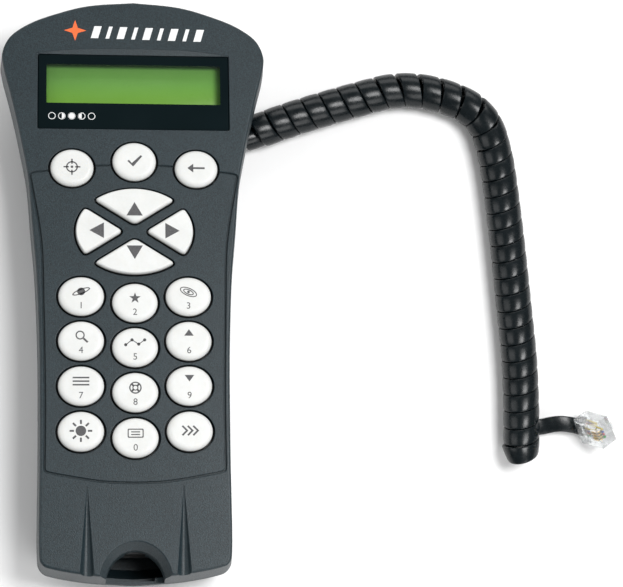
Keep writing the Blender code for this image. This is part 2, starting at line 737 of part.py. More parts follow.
def main_board():
    low = (-BOARD_HALF_WIDTH, BOARD_Y[0], BOARD_Z[0])
    high = (BOARD_HALF_WIDTH, BOARD_Y[1], BOARD_Z[1])
    board = add_part("main_board", box_mesh("main_board", low, high), (0.02, 0.16, 0.06), 0.45)
    through = (BOARD_Z[0] - PAST, BOARD_Z[1] + PAST)
    holes = bosses(CASE_SCREWS[:2], *through, FRONT_BOSS_RADIUS + BOSS_CLEARANCE)
    holes += bosses(BOARD_SCREWS, *through, SCREW_HOLE_RADIUS)
    boolean(board, cylinders_mesh("board_holes", holes))
    under = BOARD_Z[0] - GAP
    for name, across, along, depth, colour in BOARD_PARTS:
        low, high = (across[0], along[0], under - depth), (across[1], along[1], under)
        add_part(name, box_mesh(name, low, high), colour, 0.5)


def data_jack():
    low, high = (-JACK_HALF_WIDTH, JACK_Y[0], JACK_Z[0]), (JACK_HALF_WIDTH, JACK_Y[1], JACK_Z[1])
    jack = add_part("data_jack", box_mesh("data_jack", low, high), (0.012, 0.012, 0.012), 0.5)
    low = (-SOCKET_HALF_WIDTH, JACK_Y[0] - PAST, SOCKET_Z[0])
    high = (SOCKET_HALF_WIDTH, JACK_Y[0] + SOCKET_DEPTH, SOCKET_Z[1])
    boolean(jack, box_mesh("socket", low, high))


def screw_mesh(name, seat_z, tip_z, scale):
    """The profile of a pan-head screw, head down, for a Screw modifier."""
    head_z, head_radius, radius = seat_z - SCREW_HEAD_DEPTH, SCREW_HEAD_RADIUS * scale, SCREW_RADIUS * scale
    profile = (
        (0, tip_z),
        (radius * 0.6, tip_z),
        (radius, tip_z - radius),
        (radius, seat_z),
        (head_radius, seat_z),
        (head_radius, head_z + 0.0004),
        (head_radius * 0.75, head_z),
        (0, head_z),
    )
    mesh = bpy.data.meshes.new(name)
    mesh.from_pydata([(x, 0, z) for x, z in profile], [(k, k + 1) for k in range(len(profile) - 1)], [])
    return mesh


def screws():
    kinds = (
        ("case_screw", CASE_SCREWS, COUNTERBORE_Z, CASE_SCREW_TIP_Z, 1.0),
        ("board_screw", BOARD_SCREWS, BOARD_Z[0], SCREW_TIP_Z, 1.0),
        ("display_screw", DISPLAY_SCREWS, DISPLAY_BOARD_Z[0], SCREW_TIP_Z, SMALL_SCREW),
    )
    for kind, places, seat_z, tip_z, scale in kinds:
        for number, (x, y) in enumerate(both_sides(places), 1):
            mesh = screw_mesh(kind, seat_z - GAP, tip_z, scale)
            screw = add_part(f"{kind}_{number}", mesh, (0.55, 0.55, 0.56), 0.35, 1.0)
            screw.location = (x, y, 0)
            add_screw_modifier(screw, SCREW_SIDES)


def tube(name, points, radius, colour, roughness, resolution=2):
    """A plain round tube with capped ends along a line of points."""
    curve = bpy.data.curves.new(name, "CURVE")
    curve.dimensions = "3D"
    curve.bevel_depth = radius
    curve.bevel_resolution = resolution
    curve.use_fill_caps = True
    spline = curve.splines.new("POLY")
    spline.points.add(len(points) - 1)
    for point, place in zip(spline.points, points):
        point.co = (*place, 1)
    return add_part(name, curve, colour, roughness)


def cord():
    boot = bpy.data.meshes.new("cord_strain_relief")
    profile = (
        (0, BOOT_LENGTH),
        (0.0027, BOOT_LENGTH),
        (0.0040, 0.0062),
        (0.0043, 0.0052),
        (BOOT_NECK_RADIUS, 0.0052),
        (BOOT_NECK_RADIUS, 0.0014),
        (BOOT_FLANGE_RADIUS, 0.0014),
        (BOOT_FLANGE_RADIUS, 0.0),
        (0, 0.0),
    )
    boot.from_pydata([(x, 0, z) for x, z in profile], [(k, k + 1) for k in range(len(profile) - 1)], [])
    relief = add_part("cord_strain_relief", boot, (0.015, 0.015, 0.017), 0.5)
    relief.location = (COIL_START_X - BOOT_END_GAP - BOOT_LENGTH, BOOT_Y, CORD_Z)
    relief.rotation_euler = (0, math.pi / 2, 0)
    add_screw_modifier(relief, 20)

    inner = curve_through(INNER_ROUTE, 6)
    tube("inner_lead", evenly_spaced(inner, 0.003), 0.0012, (0.02, 0.02, 0.022), 0.4)

    black = (0.012, 0.013, 0.015)
    route = curve_through([(x, y, CORD_Z) for x, y in COIL_ROUTE], 12)
    tube("cord_coil", evenly_spaced(route, COIL_STEP), COIL_RADIUS, black, 0.25)
    tail = curve_through(TAIL_ROUTE, 12)
    tube("cord_tail", evenly_spaced(tail, TAIL_STEP), TAIL_RADIUS, black, 0.25)


def plug():
    """The plug, built along +X from its cable end with its contacts up, and parented to an empty."""
    holder = bpy.data.objects.new("plug_place", None)
    holder.location = PLUG_AT
    holder.rotation_euler = (PLUG_ROLL, PLUG_PITCH, PLUG_TURN)
    PARTS.objects.link(holder)

    w, high = PLUG_HALF_WIDTH, PLUG_HALF_HEIGHT
    body = box_mesh("plug_body", (0, -w, -high), (PLUG_LENGTH, w, high))
    body = add_part("plug_body", body, (0.75, 0.78, 0.80), 0.1, alpha=0.5)
    body.parent = holder
    slots = bmesh.new()
    sx, sy, sz = CONTACT_SIZE
    for k in range(PLUG_CONTACTS):
        y = (k - (PLUG_CONTACTS - 1) / 2) * CONTACT_PITCH
        made = bmesh.ops.create_cube(slots, size=1.0)
        size = Matrix.Diagonal((sx + 0.0004, sy + 0.0003, sz + 0.002, 1))
        middle = Matrix.Translation((CONTACT_X + sx / 2, y, high - sz / 2 + 0.0008))
        bmesh.ops.transform(slots, matrix=middle @ size, verts=made["verts"])
    slots_mesh = finish_mesh("contact_slots", slots)
    boolean(body, slots_mesh)
    bpy.data.objects[f"{body.name}_difference_0"].parent = holder

    for k in range(PLUG_CONTACTS):
        y = (k - (PLUG_CONTACTS - 1) / 2) * CONTACT_PITCH
        bottom = high - sz + 0.0002
        top = high - GAP
        blade = box_mesh("blade", (CONTACT_X, y - sy / 2, bottom), (CONTACT_X + sx, y + sy / 2, top))
        contact = add_part(f"plug_contact_{k + 1}", blade, (0.83, 0.60, 0.22), 0.25, 1.0)
        contact.parent = holder

    pivot = bpy.data.objects.new("latch_pivot", None)
    pivot.parent = holder
    pivot.location = (PLUG_LENGTH - LATCH_ROOT[0], 0, -high - LATCH_ROOT[1])
    pivot.rotation_euler = (0, -LATCH_OPEN, 0)
    PARTS.objects.link(pivot)
    length, width, thick = LATCH_SIZE
    latch = add_part(
        "plug_latch",
        box_mesh("plug_latch", (-length, -width / 2, -thick / 2), (0.0002, width / 2, thick / 2)),
        (0.75, 0.78, 0.80),
        0.1,
        alpha=0.5,
    )
    latch.parent = pivot


clear_scene()
PARTS = make_collection(NAME)
CUTTERS = make_collection("cutters")
front_shell()
rear_shell()
keypad_mat()
keys()
display()
main_board()
data_jack()
screws()
cord()
plug()
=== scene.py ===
"""Looks of the telescope hand controller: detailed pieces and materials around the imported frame.

X runs across the case, Y towards the display and Z out of the key side, in metres, as in the frame.
"""

from math import acos, atan2, copysign, cos, hypot, pi, radians, sin, sqrt

import bmesh
import bpy
from mathutils import Matrix, Vector


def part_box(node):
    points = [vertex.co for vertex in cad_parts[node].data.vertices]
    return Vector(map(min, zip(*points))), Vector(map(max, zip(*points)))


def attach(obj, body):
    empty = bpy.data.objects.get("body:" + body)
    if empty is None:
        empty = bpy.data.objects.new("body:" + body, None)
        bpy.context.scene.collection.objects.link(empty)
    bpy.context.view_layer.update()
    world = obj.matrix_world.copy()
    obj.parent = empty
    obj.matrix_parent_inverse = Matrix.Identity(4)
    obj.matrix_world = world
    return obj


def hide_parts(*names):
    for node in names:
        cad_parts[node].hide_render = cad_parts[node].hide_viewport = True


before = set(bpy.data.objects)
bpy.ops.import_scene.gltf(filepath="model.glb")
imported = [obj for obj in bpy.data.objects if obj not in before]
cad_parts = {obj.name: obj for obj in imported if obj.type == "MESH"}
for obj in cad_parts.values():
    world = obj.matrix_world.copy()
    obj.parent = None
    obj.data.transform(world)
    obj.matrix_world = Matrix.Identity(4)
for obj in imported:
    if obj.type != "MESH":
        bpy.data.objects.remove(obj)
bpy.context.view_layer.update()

MM = 0.001
GAP = 0.0003
UP = Vector((0, 0, 1))
WHITE = (1.0, 1.0, 1.0)

# Camera: where it stands, what is behind it and what is to its right, and its lens
CAMERA_AT = (-0.0243, -0.1870, 0.7050)
CAMERA_BACK = (-0.1146, -0.2590, 0.9590)
CAMERA_RIGHT = (0.9934, -0.0255, 0.1118)
CAMERA_LENS = 127.0

# Studio: name, place, size and power of each soft light
LIGHTS = (
    ("key_light", (0.39, -0.01, 0.88), (0.36, 0.42), 7.5),
    ("top_light", (0.05, 0.95, 0.55), (1.2, 0.5), 4.5),
    ("left_light", (-0.85, 0.10, 0.55), (0.5, 0.9), 3.0),
    ("front_light", (0.38, -0.62, 0.45), (0.6, 0.4), 2.6),
)
LIGHTS_AIM = (0.03, 0.0, 0.0)
WORLD_STRENGTH = 0.24
FLOOR_HALF = 3.0

# Case: its right-hand outline from the top, and heights and shares of the way from belly to flat head
FRONT_Z = 0.028
PARTING_Z = 0.016
WALL = 0.002
CEILING_Z = 0.0252
FRONT_DRAFT = 0.0007
FOOT_EASE = 0.00015
EDGE_ROUND = 0.0009
EDGE_STEPS = 5
OUTLINE_STEPS = 6
OUTLINE = (
    (0, 0.0958), (0.0149, 0.0944), (0.0247, 0.0917), (0.0346, 0.0876), (0.0410, 0.0826),
    (0.04343, 0.0767), (0.0430, 0.0717), (0.0409, 0.0633), (0.0386, 0.0537), (0.0365, 0.0435),
    (0.0348, 0.0343), (0.0333, 0.0176), (0.0319, 0.0022), (0.0308, -0.0230), (0.0305, -0.0540),
    (0.0305, -0.0870), (0.0301, -0.0899), (0.0286, -0.0918), (0.0262, -0.0927), (0.0147, -0.0948),
    (0, -0.0958),
)
TOP_Y = OUTLINE[0][1]
WIDEST = 5 * OUTLINE_STEPS
LOWER_CORNER = 15 * OUTLINE_STEPS
SPINE_HALF_WIDTH = 0.0243
SPINE_TOP = (0.0065, 0.055)
SPINE_LOWER = (0.0090, 0.080)
HEAD_FROM_Y = 0.008
HEAD_TO_Y = 0.034
HEAD_OUTSIDE = (
    (0.01585, 0), (0.0142, 0.03), (0.0130, 0.15), (0.0126, 0.50), (0.0122, 0.80), (0.0105, 0.93),
    (0.0060, 0.98), (0.0012, 1.0),
)
HEAD_INSIDE = (
    (0.01585, 0), (0.0152, 0.10), (0.0148, 0.50), (0.0144, 0.78), (0.0120, 0.93), (0.0060, 0.98),
    (0.0020, 1.0),
)

# Panel groove, brow over the window, flutes and finger notch
LIP = 0.00022
LIP_KNEE = 0.3
PANEL_GROOVE = 0.0005
PANEL_GROOVE_DEPTH = 0.0008
PANEL_HALF = (
    (0, 0.0388), (0.0100, 0.03855), (0.0200, 0.0377), (0.0280, 0.0366), (0.0328, 0.0358),
    (0.0335, 0.0350), (0.0332, 0.0330), (0.0299, 0.0133), (0.0291, -0.0067), (0.0284, -0.0391),
    (0.0284, -0.0560), (0.0284, -0.0606), (0.0281, -0.0617), (0.0270, -0.0622), (0.0200, -0.0636),
    (0.0100, -0.0652), (0, -0.06565),
)
BROW = ((-0.0319, 0.0768), (-0.0190, 0.0782), (0.0, 0.0787), (0.0190, 0.0782), (0.0313, 0.0768))
BROW_DEPTH = 0.0006
BROW_RISE = 0.0004
FLUTE_X = 0.0150
FLUTE_TOP_Y = -0.0664
FLUTE_LENGTH = 0.034
FLUTE_RADII = (0.0001, 0.0024)
FLUTE_ARC = (radians(192), radians(156))
FLUTE_RISE = 0.0006
NOTCH_Y = -0.0965
NOTCH_HALF = (0.0113, 0.0129)
NOTCH_TAPER = 0.82
NOTCH_DEPTH = 0.004
NOTCH_WALL = 0.0015
NOTCH_WALL_TO_Y = -0.0945
NOTCH_SIDES = 96

# Keys
KEY_CROWN_Z = 0.02940
KEY_SHOULDER = 0.00135
CROWN_FLAT = 0.72
CROWN_STEPS = 26
PAD_CROWN_INSET = 0.13
PAD_SHOULDER = 0.0012
PAD_SHOULDER_STEPS = 8
KEY_FLANGE_Z = (0.0241, 0.0249)
KEY_HALF = (0.0072, 0.0063)
WELL_GROW = (0.00072, 0.00060)
FLANGE_GROW = (0.00095, 0.00085)
KEY_SIDES = 72
# Heights below which the rubber turns to painted shade, as the deep narrow wells would lie in shadow
WELL_SHADE_Z = (0.0271, 0.0281)
COLUMN_X = 0.0170
FIRST_ROW_Y = -0.0055
ROW_PITCH = 0.01456
CENTRE_DROP = 0.0021
TOP_KEYS_X = 0.0200
TOP_KEYS_Y = 0.0373
TOP_CENTRE_Y = 0.0396
TOP_KEY_HALF = (0.0069, 0.0062)
TOP_CENTRE_HALF = (0.0070, 0.0064)
KEY_GRID = (
    ("key_1", "key_2", "key_3"),
    ("key_4", "key_5", "key_6"),
    ("key_7", "key_8", "key_9"),
    ("key_light", "key_0", "key_speed"),
)
PAD_Y = 0.0161
PAD_HALF = (0.01875, 0.0142)
PAD_WELL_GROW = 0.00065
PAD_FLANGE_GROW = 0.00085
PAD_BAR_ANGLE = radians(32.5)
PAD_BAR_HALF = 0.00197
PAD_CORNER = 0.0017
PAD_ARC_TRIM = 0.08
PAD_ARC_STEPS = 28
PAD_CORNER_STEPS = 6
PAD_KEYS = ("key_right", "key_up", "key_left", "key_down")

# Prints: legends on the keys, and the plain marks on the case and under the display
PRINT_RISE = 0.00003
LEGEND_UNDER = 0.00007
DIGIT_SIZE = 0.0030
DIGIT_DROP = 0.0042
ARROW_REACH = ((0.0144, 0.0098), (0.0095, 0.0050))
ARROW_HALF_WIDTH = 0.0026
STAR_AT = (-0.0191, 0.0848)
STAR_RADII = (0.0036, 0.00125)
BAR_COUNT = 9
BAR_AT = (-0.0122, 0.0843)
BAR_PITCH = (0.0042, -0.00008)
BAR_WIDTHS = (0.0024, 0.0012)
BAR_HALF_HEIGHT = 0.0021
BAR_LEAN = 0.0006
MOON_AT = (-0.0265, 0.0553)
MOON_PITCH = 0.0032
MOON_RADIUS = 0.0012
MOON_LINE = 0.00022
MOON_INSET = 0.0001

# Display
WINDOW_HALF = (0.0310, 0.0128)
WINDOW_Y = 0.06367
WINDOW_Z = (0.0262, 0.0274)
WINDOW_CORNER = 0.0005
WINDOW_PLAY = 0.00015
WINDOW_EASE = 0.0002
VIEW_HALF = (0.0298, 0.0083)
VIEW_Y = 0.0665
VIEW_SHADE_Y = (VIEW_Y - 0.0075, VIEW_Y + 0.0085)
MASK_HALF = (0.0283, 0.0067)
GLASS_HALF = (0.0300, 0.0098)
GLASS_CORNER = 0.0004
GLASS_EASE = 0.0001

# Screws in the back
CASE_SCREWS = ((0.0175, -0.0765), (0.0205, 0.0268), (0.0100, 0.0836))
REAR_BOSS_RADIUS = 0.0030
REAR_BOSS_Z = 0.0014
FRONT_BOSS_RADIUS = 0.0026
BORE = 0.0024
BORE_Z = 0.0102
SCREW_HOLE_RADIUS = 0.0015
SCREW_HEAD_RADIUS = 0.0020
SCREW_HEAD_DEPTH = 0.0014
SCREW_HEAD = ((0.35, 0.0), (0.72, 0.00010), (0.92, 0.00038), (1.0, 0.0008), (1.0, SCREW_HEAD_DEPTH))
SCREW_SHANK = 0.0012
THREAD_ROOT = 0.80
THREAD_TURNS = 24
DRIVE_ARM = (0.0011, 0.0002)
DRIVE_TIP = (0.0004, 0.0001)

# Data socket: its opening in the case, and (y, z) of a contact wire from the socket's mouth
JACK_HALF_WIDTH = 0.0075
JACK_Y = (-0.0863, -0.0715)
BOARD_UNDERSIDE = 0.0201
SLOT = ((-0.0063, -0.0945, 0.010), (0.0063, JACK_Y[0] - 0.002, 0.018))
SLOT_MOUTH = ((-0.0048, -0.099, 0.0110), (0.0048, -0.0940, 0.0150))
SOCKET_WIRE = (
    (0.0112, 0.0168), (0.0080, 0.0176), (0.0030, 0.0178), (0.0018, 0.0172), (0.0035, 0.0160),
    (0.0090, 0.0136),
)
SOCKET_WIRES = 6
SOCKET_WIRE_RADIUS = 0.00018

# Strain relief: (radius, distance from its inner end) up to its ribs
CORD_Z = 0.0061
BOOT_Y = 0.0555
BOOT_END_X = 0.0309
BOOT_HOLE_RADIUS = 0.0029
BOOT_HOLE_DEPTH = 0.008
BOOT_BODY = (
    (0.0005, 0.0), (0.0035, 0.0), (0.0035, 0.0014), (0.0025, 0.0014), (0.0025, 0.0052),
    (0.0042, 0.0053),
)
BOOT_RIBS = 4
BOOT_RIB_START = 0.0056
BOOT_RIB_PITCH = 0.0012
BOOT_RIB_RADIUS = 0.0042
BOOT_TAPER = 0.0003
BOOT_TIP = (0.0027, 0.0024)
BOOT_TIP_EASE = 0.0002
BOOT_RIB = ((0.0, 0.0), (0.0, 0.0007), (0.0005, 0.00085), (0.0006, 0.0011))

# Cord: the coil's axis from the case to its end, then the flat tail from there to the plug
COIL_ROUTE = (
    (0.0318, 0.0555), (0.0354, 0.0558), (0.0398, 0.0573), (0.0514, 0.0619), (0.0645, 0.0664),
    (0.0773, 0.0704), (0.0880, 0.0733), (0.0954, 0.0738), (0.1023, 0.0729), (0.1095, 0.0707),
    (0.1150, 0.0679), (0.1190, 0.0640), (0.1215, 0.0592), (0.1229, 0.0535), (0.1240, 0.0467),
    (0.1259, 0.0229), (0.1272, -0.0008), (0.1282, -0.0235), (0.1276, -0.0462), (0.1267, -0.0568),
)
TAIL_ROUTE = (
    (0.1300, -0.0474, 0.0018), (0.1317, -0.0447, 0.0021), (0.1333, -0.0431, 0.0024),
    (0.1360, -0.0426, 0.0027), (0.1390, -0.0421, 0.0035), (0.1420, -0.0420, 0.0040),
    (0.1450, -0.0423, 0.0036), (0.1468, -0.0425, 0.0029), (0.1482, -0.0427, 0.0026),
    (0.1499, -0.0432, 0.0042), (0.1504, -0.0436, 0.0052),
)
RIBBON_WIDTH = 0.0063
TAIL_WIDTH = 0.0052
RIBBON_THICK = 0.0022
RIBBON_CORNER = 0.00036
RIBBON_CROWN = 0.00020
# Turns of the coil: (distance along its axis, pitch) and (distance, slant), stop by stop
TURN_PITCHES = ((0, 0.0063), (0.060, 0.0067), (0.084, 0.0068), (0.104, 0.0058), (0.30, 0.0056))
TURN_SLANTS = ((0, -0.0004), (0.080, 0.0), (0.104, 0.0010), (0.160, 0.0006), (0.30, 0.0005))
TURN_LEAN = Vector((-0.0004, -0.0034, 0))
TURN_GAP = 0.00016
TURN_RADIUS = 0.00488
TURN_STEPS = 40
COIL_ENDS = (0.0030, 0.0034)
END_TILT = radians(27)
LEAD_IN = 4
LEAD_IN_STEP = 0.0008
LEAD_IN_BLEND = 6
TWIST_X = (0.1450, 0.1505)
TAIL_ROLL = 0.42

# Plug
PLUG_AT = (0.1495, -0.0429, 0.0034)
PLUG_TURN = radians(-40)
PLUG_PITCH = radians(-57)
PLUG_ROLL = radians(73)
PLUG_LENGTH = 0.0115
PLUG_HALF = (0.0047, 0.0031)
PLUG_CORNER = 0.0004
PLUG_MOUTH = ((-0.001, 0.0038, 0.0021), (0.0045, 0.0030, 0.0013), (0.0050, 0.0026, 0.0010))
PLUG_CLAMP = ((0.0028, -0.0034, PLUG_HALF[1] - 0.0011), (0.0052, 0.0034, PLUG_HALF[1] + 0.001))
PLUG_CONTACTS = 4
CONTACT_PITCH = 0.00102
CONTACT_SIZE = (0.0030, 0.0004, 0.0022)
CONTACT_PLAY = (0.0003, 0.00015)
CONTACT_X = 0.0075
WIRE_COLOURS = ("green", "red", "blue", "yellow")
WIRE_RADIUS = 0.00042
WIRE_SPREAD = 0.0009
LATCH_OPEN = radians(10)
LATCH_LENGTH = 0.0092
LATCH_THICK = 0.0007
LATCH_ROOT = (0.0010, 0.00075)
LATCH_OUTLINE = ((0.0002, 0.0014), (-0.0030, 0.0014), (-0.0036, 0.0016), (-0.0080, 0.0016))
LATCH_TIP_HALF = 0.0012


# ---- camera, floor and light


def camera():
    back = Vector(CAMERA_BACK).normalized()
    up = back.cross(Vector(CAMERA_RIGHT)).normalized()
    right = up.cross(back)
    data = bpy.data.cameras.new("camera")
    data.lens = CAMERA_LENS
    data.sensor_width = 36.0
    data.clip_start = 0.01
    eye = bpy.data.objects.new("camera", data)
    turn = Matrix((right, up, back)).transposed().to_4x4()
    eye.matrix_world = Matrix.Translation(CAMERA_AT) @ turn
    bpy.context.scene.collection.objects.link(eye)
    bpy.context.scene.camera = eye


def soft_light(name, place, size, power):
    data = bpy.data.lights.new(name, "AREA")
    data.shape = "RECTANGLE"
    data.size, data.size_y = size
    data.energy = power
    light = bpy.data.objects.new(name, data)
    light.location = place
    aim = Vector(LIGHTS_AIM) - Vector(place)
    light.rotation_euler = aim.to_track_quat("-Z", "Y").to_euler()
    bpy.context.scene.collection.objects.link(light)


def studio():
    scene = bpy.context.scene
    scene.view_settings.view_transform = "Standard"
    world = bpy.data.worlds.new("studio")
    world.use_nodes = True
    background = world.node_tree.nodes["Background"]
    background.inputs["Color"].default_value = (*WHITE, 1)
    background.inputs["Strength"].default_value = WORLD_STRENGTH
    scene.world = world
    for light in LIGHTS:
        soft_light(*light)


def floor():
    bm = bmesh.new()
    bmesh.ops.create_grid(bm, x_segments=2, y_segments=2, size=FLOOR_HALF)
    sheet = finish("floor", bm)
    sheet.data.materials.append(MATERIALS["floor"])


# ---- materials


class Look:
    """A procedural material: a Principled shader and short calls for the nodes behind it."""

    def __init__(self, name, roughness=0.5, metallic=0.0):
        self.material = bpy.data.materials.new(name)
        self.material.use_nodes = True
        self.tree = self.material.node_tree
        self.shader = self.tree.nodes["Principled BSDF"]
        self.set("Roughness", roughness)
        self.set("Metallic", metallic)
        self.place = self.tree.nodes.new("ShaderNodeTexCoord").outputs["Object"]

    def node(self, kind, **values):
        """A new node with values for its sockets: from_min stands for the socket From Min."""
        made = self.tree.nodes.new(f"ShaderNode{kind}")
        for name, value in values.items():
            made.inputs[name.replace("_", " ").title()].default_value = value
        return made

    def link(self, source, target):
        self.tree.links.new(source, target)

    def set(self, socket, value):
        self.shader.inputs[socket].default_value = value

    def noise(self, scale, detail=3.0, roughness=0.55, stretch=None):
        texture = self.node("TexNoise", scale=scale, detail=detail, roughness=roughness)
        place = self.place
        if stretch:
            mapping = self.node("Mapping", scale=stretch)
            self.link(place, mapping.inputs["Vector"])
            place = mapping.outputs["Vector"]
        self.link(place, texture.inputs["Vector"])
        return texture.outputs["Fac"]

    def bricks(self, width, height, mortar, colours, offset=0.5):
        """A brick texture; the colours are those of two kinds of brick and of the mortar."""
        sizes = {"brick_width": width, "row_height": height, "mortar_size": mortar}
        first, second, joint = ((*colour, 1) for colour in colours)
        texture = self.node("TexBrick", scale=1.0, **sizes, color1=first, color2=second, mortar=joint)
        texture.offset = offset
        self.link(self.place, texture.inputs["Vector"])
        return texture

    def axis(self, name, low, high):
        """A value that runs from 0 to 1 between two coordinates on an axis."""
        split = self.node("SeparateXYZ")
        self.link(self.place, split.inputs["Vector"])
        spread = self.node("MapRange", from_min=low, from_max=high)
        self.link(split.outputs[name], spread.inputs["Value"])
        return spread.outputs["Result"]

    def ramp(self, value, stops):
        ramp = self.node("ValToRGB")
        while len(ramp.color_ramp.elements) < len(stops):
            ramp.color_ramp.elements.new(0.5)
        for element, (at, colour) in zip(ramp.color_ramp.elements, stops):
            element.position = at
            element.color = (*colour, 1)
        self.link(value, ramp.inputs["Fac"])
        return ramp.outputs["Color"]

    def cloud(self, scale, low, high, detail=3.0):
        """Two colours that drift into each other."""
        return self.ramp(self.noise(scale, detail), ((0.3, low), (0.7, high)))

    def range(self, value, low, high):
        """A noise's usual values spread from low to high."""
        spread = self.node("MapRange", from_min=0.25, from_max=0.75, to_min=low, to_max=high)
        self.link(value, spread.inputs["Value"])
        return spread.outputs["Result"]

    def mix(self, share, first, second, kind="MIX"):
        mix = self.node("Mix")
        mix.data_type = "RGBA"
        mix.blend_type = kind
        for index, value in ((0, share), (6, first), (7, second)):
            if hasattr(value, "is_output"):
                self.link(value, mix.inputs[index])
            else:
                mix.inputs[index].default_value = (*value, 1) if isinstance(value, tuple) else value
        return mix.outputs[2]

    def times(self, first, second):
        return self.mix(1.0, first, second, "MULTIPLY")

    def colour(self, value):
        self.link(value, self.shader.inputs["Base Color"])

    def rough(self, value, low, high):
        self.link(self.range(value, low, high), self.shader.inputs["Roughness"])

    def bump(self, *layers):
        """Layers are (height value, depth in metres)."""
        normal = None
        for height, depth in layers:
            bump = self.node("Bump", distance=depth)
            self.link(height, bump.inputs["Height"])
            if normal:
                self.link(normal, bump.inputs["Normal"])
            normal = bump.outputs["Normal"]
        self.link(normal, self.shader.inputs["Normal"])


def floor_look():
    look = Look("floor_paper", 0.8)
    look.colour(look.cloud(3, (0.90, 0.90, 0.90), (0.92, 0.92, 0.92), 2.0))
    look.bump((look.noise(300, 2.0), 0.00002))
    return look.material


def case_look():
    """Charcoal ABS, spark-eroded to a fine even texture and a little polished by handling."""
    look = Look("case_plastic", 0.5)
    grain = look.noise(3200, 2.0, 0.6)
    base = look.cloud(28, (0.0098, 0.0198, 0.0246), (0.0122, 0.0228, 0.0282))
    speck = look.ramp(grain, ((0.36, (0.55, 0.56, 0.57)), (0.50, WHITE), (0.66, (1.60, 1.56, 1.54))))
    look.colour(look.times(base, speck))
    look.rough(look.noise(45, 4.0), 0.41, 0.49)
    look.set("Specular IOR Level", 0.40)
    look.bump((look.noise(2400, 2.0, 0.5), 0.00006), (grain, 0.00003))
    return look.material


def rubber_look():
    """White silicone with faint clouding and fine grime, and painted shade that turns it near black down
    in the wells.
    """
    look = Look("key_silicone", 0.45)
    base = look.cloud(120, (0.63, 0.64, 0.630), (0.68, 0.69, 0.685))
    grime = look.range(look.noise(900, 4.0, 0.7), 0.93, 1.0)
    stain = look.ramp(grime, ((0.9, (0.94, 0.93, 0.90)), (1.0, WHITE)))
    # Painted shade: low on the keys' sides, their flanges and the mat, the colour fades to near black
    # between these heights
    height = look.axis("Z", *WELL_SHADE_Z)
    look.colour(look.mix(height, (0.030, 0.032, 0.033), look.times(base, stain)))
    look.rough(look.noise(300, 2.0), 0.38, 0.52)
    look.set("Subsurface Weight", 0.12)
    look.set("Subsurface Radius", (0.0012, 0.0010, 0.0008))
    look.bump((look.noise(2600, 2.0), 0.00002))
    return look.material


def legend_look():
    look = Look("legend_ink", 0.55)
    look.colour(look.cloud(1800, (0.045, 0.045, 0.048), (0.085, 0.085, 0.088)))
    look.rough(look.noise(900), 0.5, 0.65)
    look.bump((look.noise(2500), 0.00001))
    return look.material


def print_look(name, colour, darker):
    look = Look(name, 0.45)
    look.colour(look.ramp(look.noise(2200), ((0.30, darker), (0.5, colour), (0.8, colour))))
    look.rough(look.noise(1400), 0.4, 0.6)
    look.bump((look.noise(2300, 2.0), 0.00003))
    return look.material


def mask_look():
    """Glossy black border of the display window, with hair-fine handling marks."""
    look = Look("window_black", 0.06)
    look.colour(look.cloud(60, (0.0010, 0.0050, 0.0062), (0.0020, 0.0065, 0.0080), 2.0))
    look.rough(look.noise(420, 4.0, 0.7, (1.0, 0.18, 1.0)), 0.05, 0.14)
    look.set("Specular IOR Level", 0.22)
    look.bump((look.noise(60, 1.0), 0.00002))
    return look.material


def pane_look():
    """The window's clear part: mostly see-through, with a faint reflection."""
    look = Look("window_clear", 0.05)
    look.colour(look.cloud(90, (0.03, 0.035, 0.035), (0.05, 0.055, 0.055)))
    look.rough(look.noise(300), 0.03, 0.08)
    look.set("Specular IOR Level", 0.20)
    look.set("Alpha", 0.10)
    return look.material


def lcd_look():
    """Blank green display: yellower at its lower edge, with a painted shadow darkening its top, painted
    shade on its left and right edges, a faint painted glow and a faint cell grid.
    """
    look = Look("lcd_green", 0.30)
    # Greens from the lower edge to the top; the last stops are a painted shadow cast by the window's
    # border on the top edge
    greens = (
        (0.00, (0.200, 0.430, 0.040)),
        (0.22, (0.175, 0.400, 0.050)),
        (0.55, (0.155, 0.375, 0.070)),
        (0.86, (0.150, 0.350, 0.080)),
        (0.93, (0.080, 0.190, 0.060)),
        (1.00, (0.035, 0.080, 0.040)),
    )
    # Painted shade: the left and right edges darkened as if shadowed by the window's border
    sides = ((0.0, (0.75, 0.78, 0.75)), (0.02, WHITE), (0.955, WHITE), (1.0, (0.45, 0.52, 0.45)))
    across = look.ramp(look.axis("X", -MASK_HALF[0], MASK_HALF[0]), sides)
    shade = look.times(look.ramp(look.axis("Y", *VIEW_SHADE_Y), greens), across)
    shade = look.times(shade, look.cloud(70, (0.94, 0.95, 0.92), WHITE))
    tints = (WHITE, (0.985, 0.99, 0.98), (0.95, 0.97, 0.94))
    cells = look.bricks(0.00060, 0.00066, 0.00003, tints, 0.0)
    shade = look.times(shade, cells.outputs["Color"])
    look.colour(shade)
    # Painted glow: the display gives off its own colour faintly as light, though it is not lit
    look.link(shade, look.shader.inputs["Emission Color"])
    look.set("Emission Strength", 0.10)
    look.set("Specular IOR Level", 0.20)
    look.rough(look.noise(500), 0.26, 0.36)
    return look.material


def jacket_look():
    """Glossy black PVC cord jacket with fine extrusion lines."""
    look = Look("cord_pvc", 0.25)
    look.colour(look.cloud(160, (0.0018, 0.0042, 0.0054), (0.0034, 0.0064, 0.0082)))
    look.rough(look.noise(700), 0.20, 0.34)
    look.set("Specular IOR Level", 0.30)
    look.bump((look.noise(900, 2.0), 0.000015), (look.noise(180, 2.0), 0.00003))
    return look.material


def dull_look(name, low, high, roughness=(0.4, 0.6), grain=1200):
    """Moulded plastic."""
    look = Look(name, roughness[0])
    look.colour(look.cloud(150, low, high))
    look.rough(look.noise(500), *roughness)
    look.bump((look.noise(grain, 2.0), 0.00003))
    return look.material


